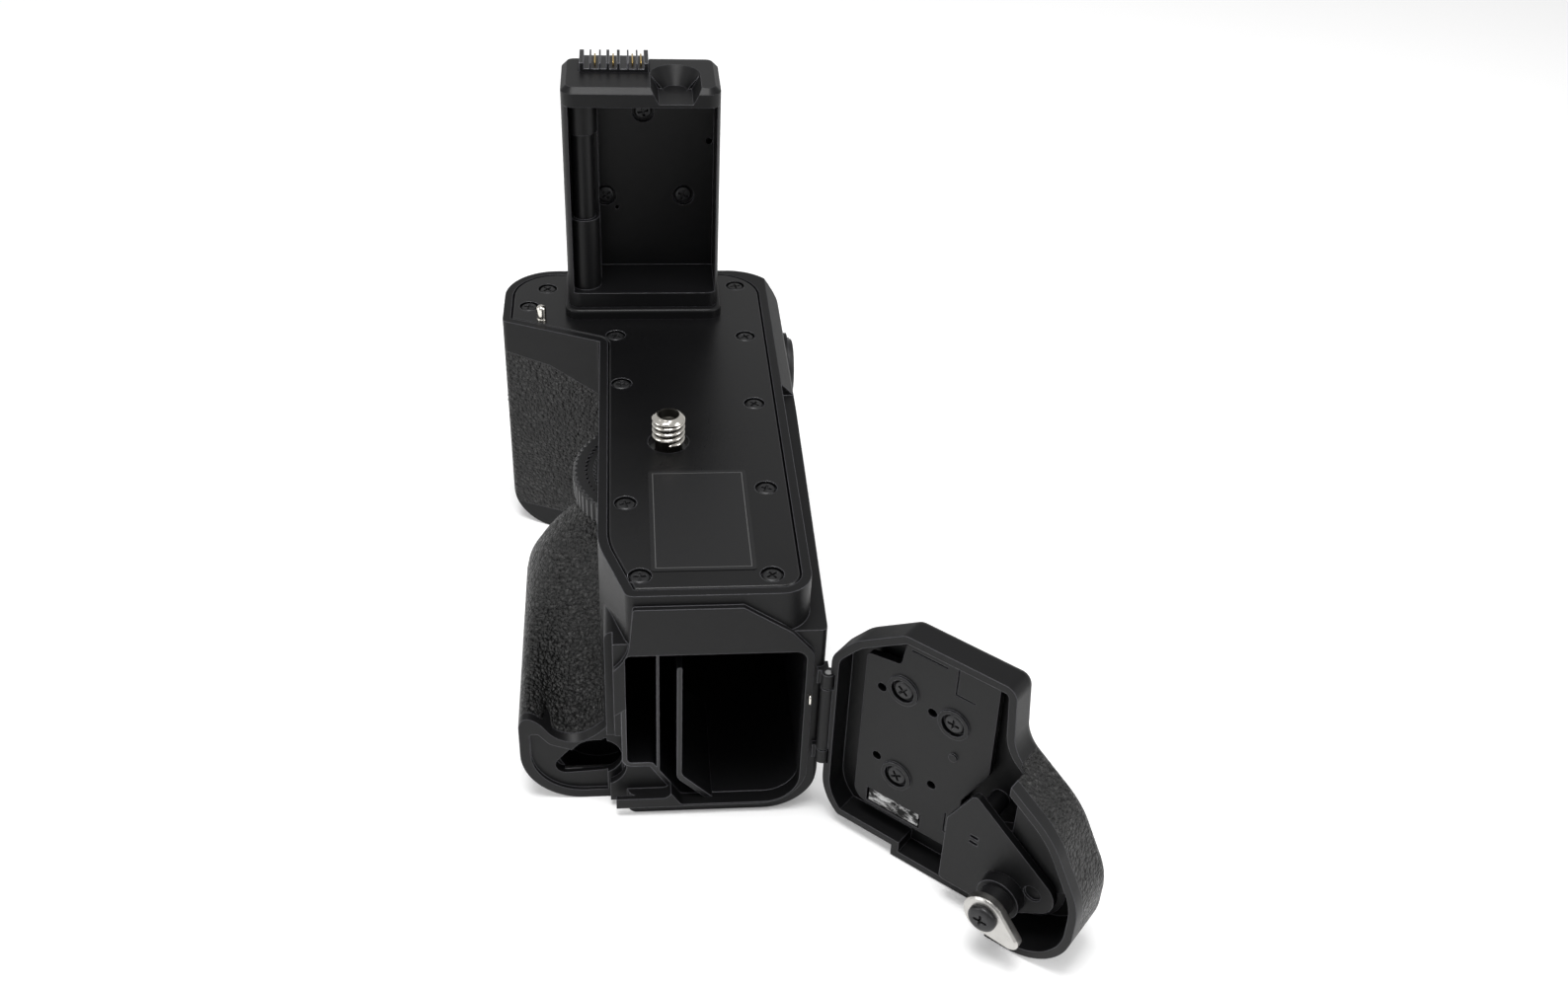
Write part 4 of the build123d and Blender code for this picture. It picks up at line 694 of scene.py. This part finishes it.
class GripColours(bpy.types.PropertyGroup):
    """Colours and surface of the mouldings."""

    body: bpy.props.FloatVectorProperty(
        name="Body", description="Colour of the moulded body", subtype="COLOR", size=3,
        default=(0.0036, 0.0036, 0.004), min=0, max=1,
    )
    deck: bpy.props.FloatVectorProperty(
        name="Deck", description="Colour of the deck plate and covers", subtype="COLOR", size=3,
        default=(0.003, 0.003, 0.0033), min=0, max=1,
    )
    leather: bpy.props.FloatVectorProperty(
        name="Leatherette", description="Colour of the hand grips", subtype="COLOR", size=3,
        default=(0.006, 0.0059, 0.0058), min=0, max=1,
    )
    controls: bpy.props.FloatVectorProperty(
        name="Controls", description="Colour of the buttons, dials and levers", subtype="COLOR", size=3,
        default=(0.005, 0.005, 0.0055), min=0, max=1,
    )
    bright: bpy.props.FloatVectorProperty(
        name="Bright metal", description="Colour of the nickel plated pieces", subtype="COLOR", size=3,
        default=(0.78, 0.75, 0.69), min=0, max=1,
    )
    pebble: bpy.props.FloatProperty(
        name="Pebble", description="Width of the leatherette's pebbles", unit="LENGTH",
        default=0.7 * MM, min=0.2 * MM, max=4 * MM, precision=5,
    )
    grain: bpy.props.FloatProperty(
        name="Grain", description="Width of the moulding's grain", unit="LENGTH",
        default=0.24 * MM, min=0.05 * MM, max=2 * MM, precision=5,
    )


class GripSizes(bpy.types.PropertyGroup):
    """Sizes of the fine pieces."""

    head_radius: bpy.props.FloatProperty(
        name="Screw head", description="Radius of the small screw heads", unit="LENGTH",
        default=1.8 * MM, min=0.5 * MM, max=4 * MM, precision=5,
    )
    pitch: bpy.props.FloatProperty(
        name="Thread pitch", description="Pitch of the tripod screw's thread", unit="LENGTH",
        default=1.27 * MM, min=0.5 * MM, max=3 * MM, precision=5,
    )
    crest: bpy.props.FloatProperty(
        name="Thread radius", description="Outer radius of the tripod screw's thread", unit="LENGTH",
        default=3.17 * MM, min=1 * MM, max=6 * MM, precision=5,
    )
    wheel_teeth: bpy.props.IntProperty(
        name="Wheel teeth", description="Teeth round the attachment wheel", default=72, min=12, max=200,
    )
    dial_teeth: bpy.props.IntProperty(
        name="Dial teeth", description="Teeth round each control dial", default=44, min=12, max=120,
    )


class GripStage(bpy.types.PropertyGroup):
    """Floor and studio lights."""

    floor: bpy.props.FloatVectorProperty(
        name="Floor", description="Colour of the floor", subtype="COLOR", size=3,
        default=(0.9, 0.9, 0.9), min=0, max=1,
    )
    key: bpy.props.FloatProperty(
        name="Key light", description="Power of the large light over the grip", subtype="POWER",
        default=3.6, min=0,
    )
    side: bpy.props.FloatProperty(
        name="Side light", description="Power of the lights to the left and right", subtype="POWER",
        default=1.4, min=0,
    )
    room: bpy.props.FloatProperty(
        name="Room", description="Brightness of the surrounding room", default=0.5, min=0, max=5,
    )


# The finishes made so far, by name
FINISHES = {}


def finish_named(name):
    """The finish of that name, made once from the colours in the panel."""
    if name in FINISHES:
        return FINISHES[name]
    look = bpy.context.scene.grip_colours
    grain, pebble = look.grain / MM, look.pebble / MM
    # Painted light: the bay's mouldings take the body colour made lighter, as if lit inside the bay
    inner = tint(look.body, 1.8)
    bare, blackened = (0.5, 0.5, 0.5, 1), (0.012, 0.012, 0.012, 1)
    film, frame_line = (0.0055, 0.0055, 0.006), (0.09, 0.09, 0.09, 1)
    makers = {
        "body": lambda: moulded_plastic("Body moulding", look.body, 0.46, grain, 0.011),
        "deck": lambda: moulded_plastic("Deck grain", look.deck, 0.31, grain * 0.8, 0.012, gloss=0.36),
        "plate": lambda: moulded_plastic("Door plate moulding", look.deck, 0.4, grain * 0.8, 0.012),
        "inside": lambda: moulded_plastic("Inner moulding with painted light", inner, 0.34, 0.5, 0.006, gloss=0.35),
        "control": lambda: moulded_plastic(
            "Control moulding", look.controls, 0.4, 0.15, 0.006, soft=0.12, gloss=0.5,
        ),
        "plug": lambda: moulded_plastic("Plug moulding", look.body, 0.4, 0.16, 0.006, soft=0.2),
        "leather": lambda: pebbled_leatherette("Pebbled leatherette", look.leather, pebble),
        "rubber": lambda: ribbed_rubber("Ribbed rubber", look.leather),
        "label": lambda: bare_label("Bare label film", film, frame_line),
        "board": lambda: circuit_board("Circuit board", (0.02, 0.1, 0.045)),
        "nickel": lambda: plated_metal("Bright nickel", look.bright, 0.17),
        "thread": lambda: cut_thread("Nickel thread", look.bright, root=2.62, crest=2.98),
        "steel": lambda: plated_metal("Plain steel", bare, 0.32, streak=(1, 1, 9)),
        "leaf": lambda: scuffed_metal("Rubbed leaf", bare, blackened),
        "cast": lambda: plated_metal(
            "Polished casting", (0.5, 0.49, 0.47), 0.3, streak=(4, 4, 1), soft=0.2,
        ),
        "gold": lambda: plated_metal("Gilt contacts", (0.85, 0.6, 0.22), 0.22),
        "screw": lambda: blackened_steel("Black zinc", (0.02, 0.02, 0.021)),
    }
    FINISHES[name] = makers[name]()
    return FINISHES[name]


# Pieces


class GRIP_OT_body(bpy.types.Operator):
    """Finish the housing, the liner and the rear pad"""

    bl_idname = "grip.body"
    bl_label = "Body"

    def execute(self, context):
        dress("body", "main_housing")
        dress("rubber", "rear_pad")
        dress("inside", "bay_liner", "bay_guide", "bay_contact_block")
        dress("steel", "latch_catch", "front_dial_axle", "rear_dial_axle")
        return {"FINISHED"}


class GRIP_OT_leatherette(bpy.types.Operator):
    """Cover the two hand grips"""

    bl_idname = "grip.leatherette"
    bl_label = "Leatherette"

    def execute(self, context):
        dress("leather", "front_leather", "door_leather")
        return {"FINISHED"}


class GRIP_OT_deck(bpy.types.Operator):
    """Finish the deck plate with its label and locating pin"""

    bl_idname = "grip.deck"
    bl_label = "Deck"

    def execute(self, context):
        dress("deck", "deck_plate")
        dress("label", "label_plate")
        dress("steel", "screw_bearing")
        edit = fresh_mesh()
        outline = [
            (0, 3.6), (0.35, 3.56), (0.68, 3.42), (0.9, 3.18), (1.0, 2.86), (1.0, 1.0), (0.86, 0.85),
            (0.86, 0.6), (1.0, 0.45), (1.0, 0.0), (0.7, 0.0), (0.7, -4.0), (0, -4.0),
        ]
        turned(edit, outline, 40, on_deck(*PIN_XY, 0))
        shaped("domed_locating_pin", edit, "grip", "nickel", ["locating_pin"], crease=40)
        return {"FINISHED"}


class GRIP_OT_small_screws(bpy.types.Operator):
    """Set the small cross head screws"""

    bl_idname = "grip.small_screws"
    bl_label = "Small screws"

    def execute(self, context):
        head = context.scene.grip_sizes.head_radius / MM
        in_deck = [on_deck(x, y, -SEAT_DEPTH) for x, y in DECK_SCREWS]
        in_cover = [on_base(x, y, LOW_Z + SEAT_DEPTH) for x, y in COVER_SCREWS]
        in_plug = [on_near_side(PLUG_SEAT_X, y, z) for y, z in PLUG_SCREWS]
        in_plate = [in_door(y, z, PLATE_SEAT_X) for y, z in DOOR_SCREWS]
        groups = (
            ("deck", "grip", "deck_screws", in_deck, head, 0.8),
            ("cover", "grip", "cover_screws", in_cover, head, 0.8),
            ("plug", "grip", "plug_screws", in_plug, head, 0.8),
            ("door", "battery_door", "door_plate_screws", in_plate, 1.9, 0.7),
        )
        for index, (name, body, node, places, radius, thick) in enumerate(groups):
            edit = fresh_mesh()
            for number, place in enumerate(places):
                # No two crosses line up, as on screws driven by hand
                turn = Matrix.Rotation(0.61 * number + 0.3 * index, 4, "Z")
                cross_head_screw(edit, place @ turn, radius, thick)
            shaped(name + "_cross_screws", edit, body, "screw", [node], crease=28)
        dress("screw", "board_screws")
        return {"FINISHED"}


class GRIP_OT_tripod_screw(bpy.types.Operator):
    """Cut the tripod screw and the thread of the socket below"""

    bl_idname = "grip.tripod_screw"
    bl_label = "Tripod screw"

    def execute(self, context):
        sizes = context.scene.grip_sizes
        crest, pitch = sizes.crest / MM, sizes.pitch / MM
        core = 2.55
        collar, low = 5.5, WHEEL_LOW_Z - 0.6
        edit = fresh_mesh()
        outline = [
            (0, 4.4), (1.75, 4.4), (1.85, 4.5), (1.85, 6.0), (1.95, 6.2), (2.2, 6.2), (2.35, 6.12),
            (crest - 0.1, 5.5), (crest - 0.02, 5.35), (core, 5.1), (core, WHEEL_LOW_Z),
            (collar - 0.2, WHEEL_LOW_Z), (collar, WHEEL_LOW_Z - 0.2), (collar, low + 0.2),
            (collar - 0.2, low), (0, low),
        ]
        turned(edit, outline, 64)
        thread(edit, core, crest, pitch, turns=4.0, start=0.1)
        settle(edit)
        shaped("threaded_tripod_screw", edit, "tie_down", "thread", ["tripod_screw"], crease=50)
        edit = fresh_mesh()
        bore, bore_crest = 3.17, 2.62
        thread(edit, bore, bore_crest, pitch, turns=3.4, start=0.5, inward=True)
        settle(edit, on_deck(*SOCKET_XY, LOW_Z))
        shaped("socket_thread", edit, "grip", "steel")
        dress("steel", "tripod_socket")
        return {"FINISHED"}


class GRIP_OT_attachment_wheel(bpy.types.Operator):
    """Knurl the attachment wheel"""

    bl_idname = "grip.attachment_wheel"
    bl_label = "Attachment wheel"

    def execute(self, context):
        edit = fresh_mesh()
        teeth = context.scene.grip_sizes.wheel_teeth
        knurled_disc(
            edit, on_deck(0, 0, WHEEL_LOW_Z), radius=18.3, tooth=0.45, teeth=teeth, thick=4.4,
            hole=2.75, chamfer=0.35, groove=(16.0, 14.3, 0.5),
        )
        shaped("knurled_wheel", edit, "tie_down", "control", ["attachment_wheel"])
        return {"FINISHED"}


class GRIP_OT_dials(bpy.types.Operator):
    """Knurl the front and the rear dial"""

    bl_idname = "grip.dials"
    bl_label = "Dials"

    def execute(self, context):
        teeth = context.scene.grip_sizes.dial_teeth
        thick = 4.0
        for name, (y, z) in (("front_dial", FRONT_DIAL_YZ), ("rear_dial", REAR_DIAL_YZ)):
            edit = fresh_mesh()
            knurled_disc(
                edit, on_near_side(DIAL_X - thick / 2, y, z), radius=9.2, tooth=0.35, teeth=teeth,
                thick=thick, hole=1.05, chamfer=0.3,
            )
            shaped("knurled_" + name, edit, name, "control", [name])
        return {"FINISHED"}


class GRIP_OT_buttons(bpy.types.Operator):
    """Turn the buttons, the power switch and the focus lever"""

    bl_idname = "grip.buttons"
    bl_label = "Buttons"

    def execute(self, context):
        self.shutter_and_switch(*SHUTTER_YZ)
        self.focus_lever(*LEVER_XZ)
        x, z = LEVER_XZ
        self.domed_button("focus_button", on_back(x, REAR_Y, z), radius=3.4, top=3.3)
        x, z = REAR_BUTTON_XZ
        self.domed_button("rear_custom_button", on_back(x, REAR_Y, z), radius=3.0, top=0.8)
        y, z = END_BUTTON_YZ
        self.domed_button("end_custom_button", on_far_end(FAR_X, y, z), radius=3.0, top=0.8)
        return {"FINISHED"}

    def shutter_and_switch(self, y, z):
        """The dished button and the ring round it, which has a ridged thumb piece."""
        edit = fresh_mesh()
        outline = [
            (0, 1.35), (1.6, 1.42), (3.0, 1.62), (3.9, 1.82), (4.35, 1.88), (4.65, 1.78), (4.85, 1.5),
            (4.9, 1.1), (4.9, -1.1), (2.0, -1.1), (2.0, -5.1), (0, -5.1),
        ]
        turned(edit, outline, 56, on_far_end(FAR_X, y, z))
        shaped(
            "dished_shutter_button", edit, "shutter_button", "control",
            ["shutter_button"], crease=40,
        )
        edit = fresh_mesh()
        outline = [
            (5.2, -2.3), (5.2, 0.75), (5.35, 0.95), (5.6, 1.0), (7.7, 1.0), (8.05, 0.85), (8.2, 0.5),
            (8.2, -2.3), (5.2, -2.3),
        ]
        turned(edit, outline, 72, on_far_end(FAR_X, y, z))
        thumb_z, ridges_z, ridge_gap = z + 8.6, z + 9.6, 0.6
        slab(edit, on_far_end(FAR_X - 0.65, y, thumb_z), (3.4, 4.6, 0.7), 0.3, 3)
        for side in (-1, 0, 1):
            place = on_far_end(FAR_X - 0.85, y, ridges_z + side * ridge_gap)
            slab(edit, place, (2.6, 0.25, 0.28), 0.08)
        shaped(
            "ringed_power_switch", edit, "power_switch", "control",
            ["power_switch"], crease=40,
        )

    def focus_lever(self, x, z):
        """The ring round the focus button, with a ridged arm."""
        edit = fresh_mesh()
        outline = [
            (3.7, 0.7), (3.7, 2.6), (3.85, 2.8), (4.1, 2.9), (5.9, 2.9), (6.2, 2.75), (6.3, 2.5),
            (6.3, 0.7), (3.7, 0.7),
        ]
        turned(edit, outline, 64, on_back(x, REAR_Y, z))
        arm_x, ridges_x, ridge_gap = x - 7.5, x - 9.4, 0.7
        slab(edit, on_back(arm_x, REAR_Y + 2.6, z), (6.0, 3.2, 1.4), 0.35, 3)
        for step in range(4):
            place = on_back(ridges_x + step * ridge_gap, REAR_Y + 3.25, z)
            slab(edit, place, (0.25, 2.4, 0.2), 0.06)
        shaped(
            "ridged_focus_lever", edit, "focus_lever", "control",
            ["focus_lever"], crease=40,
        )

    def domed_button(self, name, place, radius, top):
        """A button whose dome stands at top, with a wider foot behind the wall."""
        edit = fresh_mesh()
        foot, foot_top, foot_low = radius + 0.8, -2.1, -2.8
        outline = [
            (0, top), (radius * 0.5, top - 0.03), (radius * 0.82, top - 0.12),
            (radius * 0.94, top - 0.25), (radius, top - 0.45), (radius, foot_top), (foot, foot_top),
            (foot, foot_low), (0, foot_low),
        ]
        turned(edit, outline, 48, place)
        shaped("domed_" + name, edit, name, "control", [name], crease=40)


class GRIP_OT_plug(bpy.types.Operator):
    """Finish the battery plug and its terminals"""

    bl_idname = "grip.plug"
    bl_label = "Battery plug"

    def execute(self, context):
        dress("plug", "plug_cradle", "plug_collar", "plug_cap")
        dress("inside", "terminal_block")
        edit = fresh_mesh()
        x, z = TERMINAL_XZ
        for y in TERMINAL_Y:
            slab(edit, on_near_side(x, y, z), (0.34, 0.9, 4.8), 0.12)
        shaped("terminal_blades", edit, "grip", "gold", ["terminal_contacts"])
        return {"FINISHED"}


class GRIP_OT_bay(bpy.types.Operator):
    """Finish the contacts and boards behind the battery bay"""

    bl_idname = "grip.bay"
    bl_label = "Battery bay"

    def execute(self, context):
        dress("board", "main_board", "control_board")
        x, z = SPRING_XZ
        half_width, strip = 1.0, 0.25
        bends = ((0.4, 1.08), (0.88, 2.34), (0.2, 2.7), (0.0, 1.8), (-0.2, 0.27))
        for number, y in enumerate(SPRING_Y):
            edit = fresh_mesh()
            sides = (y - half_width, y + half_width)
            edge = [edit.edges.new([edit.verts.new(Vector((x, end, z)) * MM) for end in sides])]
            for out, up in bends:
                edge = drawn_out(edit, edge, (out, 0, up))
            bmesh.ops.solidify(edit, geom=edit.faces[:], thickness=strip * MM)
            nodes = ["bay_contacts"] if number == 0 else ()
            shaped(f"bay_spring_{number + 1}", edit, "grip", "gold", nodes, crease=60)
        return {"FINISHED"}


class GRIP_OT_door(bpy.types.Operator):
    """Finish the battery door, its plate and its hinge"""

    bl_idname = "grip.door"
    bl_label = "Battery door"

    def execute(self, context):
        dress("body", "door_shell", "latch_bracket")
        dress("plate", "door_plate")
        dress("leaf", "door_leaf")
        dress("steel", "hinge_pin")
        y, low, high = 23.5, -24.1, -22.5
        foot, shoulder, bend = 44.4, 46.4, 47.5
        points = [
            (foot, y, low), (shoulder, y, low), (bend, y, low), (bend, y, (low + high) / 2),
            (bend, y, high), (shoulder, y, high), (foot, y, high),
        ]
        wire_piece("bent_hinge_clip", points, 0.26, "grip", "nickel", ["hinge_clip"])
        return {"FINISHED"}


class GRIP_OT_latch(bpy.types.Operator):
    """Finish the door latch"""

    bl_idname = "grip.latch"
    bl_label = "Door latch"

    def execute(self, context):
        dress("cast", "latch_cam")
        dress("control", "latch_knob")
        edit = fresh_mesh()
        place = in_door(*LATCH_YZ, LATCH_SEAT_X)
        cross_head_screw(edit, place, 2.6, 1.1, shank=3.6, long=2.6, wide=0.55, deep=0.6)
        shaped("latch_cross_screw", edit, "door_latch", "screw", ["latch_screw"], crease=28)
        return {"FINISHED"}


class GRIP_OT_underside(bpy.types.Operator):
    """Finish the bottom cover"""

    bl_idname = "grip.underside"
    bl_label = "Underside"

    def execute(self, context):
        dress("deck", "bottom_cover")
        return {"FINISHED"}


def soft_light(name, place, target, size, power):
    """A large light that faces a point. Place, target and size are in metres."""
    lamp = bpy.data.lights.new(name, "AREA")
    lamp.shape = "RECTANGLE"
    lamp.size, lamp.size_y = size
    lamp.energy = power
    shown = bpy.data.objects.new(name, lamp)
    shown.location = place
    shown.rotation_euler = (Vector(target) - Vector(place)).to_track_quat("-Z", "Y").to_euler()
    bpy.context.scene.collection.objects.link(shown)


class GRIP_OT_stage(bpy.types.Operator):
    """Set the floor, the lights and the camera"""

    bl_idname = "grip.stage"
    bl_label = "Stage"

    def execute(self, context):
        look = context.scene.grip_stage
        self.lay_floor(context.scene, look)
        self.light(context.scene, look)
        self.set_camera(context.scene)
        return {"FINISHED"}

    def lay_floor(self, scene, look):
        """A wide floor just under the bottom cover. Its numbers are metres."""
        half_width, gap = 3.0, 0.00005
        edit = bmesh.new()
        bmesh.ops.create_grid(edit, x_segments=8, y_segments=8, size=half_width)
        bmesh.ops.translate(edit, vec=(0, 0, LOW_Z * MM - gap), verts=edit.verts)
        mesh = bpy.data.meshes.new("floor")
        edit.to_mesh(mesh)
        edit.free()
        mesh.materials.append(stage_floor("Pale floor", look.floor))
        floor = bpy.data.objects.new("floor", mesh)
        scene.collection.objects.link(floor)

    def light(self, scene, look):
        """A white room, one light over the grip and one on either side."""
        world = bpy.data.worlds.new("Room")
        world.use_nodes = True
        background = world.node_tree.nodes["Background"]
        background.inputs["Color"].default_value = (1, 1, 1, 1)
        background.inputs["Strength"].default_value = look.room
        scene.world = world
        soft_light("Key light", (0.1, -0.04, 0.62), (0, 0, 0), (0.3, 0.3), look.key)
        soft_light("Left light", (0.1, -0.6, 0.25), (0, 0, -0.02), (0.3, 0.4), look.side)
        soft_light("Right light", (0.25, 0.55, 0.32), (0.03, 0.03, -0.02), (0.25, 0.35), look.side)
        scene.view_settings.view_transform = "Standard"

    def set_camera(self, scene):
        """The photograph's camera, as fitted to it: angles in radians, its place in metres."""
        pitch, yaw, roll = 0.6293766572, 0.1196270027, -0.0532730549
        place = (0.2466946, -0.0070344, 0.1681952)
        level = math.cos(pitch)
        ahead = Vector((-level * math.cos(yaw), level * math.sin(yaw), -math.sin(pitch)))
        right = ahead.cross(Vector((0, 0, 1))).normalized()
        down = ahead.cross(right)
        across = right * math.cos(roll) + down * math.sin(roll)
        below = down * math.cos(roll) - right * math.sin(roll)
        lens = bpy.data.cameras.new("Camera")
        lens.sensor_width = 36.0
        lens.lens = 35.945
        lens.clip_start = 0.01
        lens.clip_end = 20.0
        camera = bpy.data.objects.new("Camera", lens)
        matrix = Matrix((across, -below, -ahead)).transposed().to_4x4()
        matrix.translation = place
        camera.matrix_world = matrix
        scene.collection.objects.link(camera)
        scene.camera = camera


ORDER = (
    GRIP_OT_body, GRIP_OT_leatherette, GRIP_OT_deck, GRIP_OT_small_screws, GRIP_OT_tripod_screw,
    GRIP_OT_attachment_wheel, GRIP_OT_dials, GRIP_OT_buttons, GRIP_OT_plug, GRIP_OT_bay,
    GRIP_OT_door, GRIP_OT_latch, GRIP_OT_underside, GRIP_OT_stage,
)


class GRIP_PT_panel(bpy.types.Panel):
    """The grip's pieces in the sidebar"""

    bl_idname = "GRIP_PT_panel"
    bl_label = "Camera battery grip"
    bl_space_type = "VIEW_3D"
    bl_region_type = "UI"
    bl_category = "Grip"

    def draw(self, context):
        layout = self.layout
        for group in (context.scene.grip_colours, context.scene.grip_sizes, context.scene.grip_stage):
            for key in group.bl_rna.properties.keys():
                if key not in ("rna_type", "name"):
                    layout.prop(group, key)
        for operator in ORDER:
            layout.operator(operator.bl_idname)


GROUPS = (GripColours, GripSizes, GripStage)


def register():
    for kind in (*GROUPS, *ORDER, GRIP_PT_panel):
        bpy.utils.register_class(kind)
    bpy.types.Scene.grip_colours = bpy.props.PointerProperty(type=GripColours)
    bpy.types.Scene.grip_sizes = bpy.props.PointerProperty(type=GripSizes)
    bpy.types.Scene.grip_stage = bpy.props.PointerProperty(type=GripStage)


def unregister():
    del bpy.types.Scene.grip_stage
    del bpy.types.Scene.grip_sizes
    del bpy.types.Scene.grip_colours
    for kind in reversed((*GROUPS, *ORDER, GRIP_PT_panel)):
        bpy.utils.unregister_class(kind)


def main():
    register()
    for operator in ORDER:
        group, name = operator.bl_idname.split(".")
        getattr(getattr(bpy.ops, group), name)()


if __name__ == "__main__":
    main()
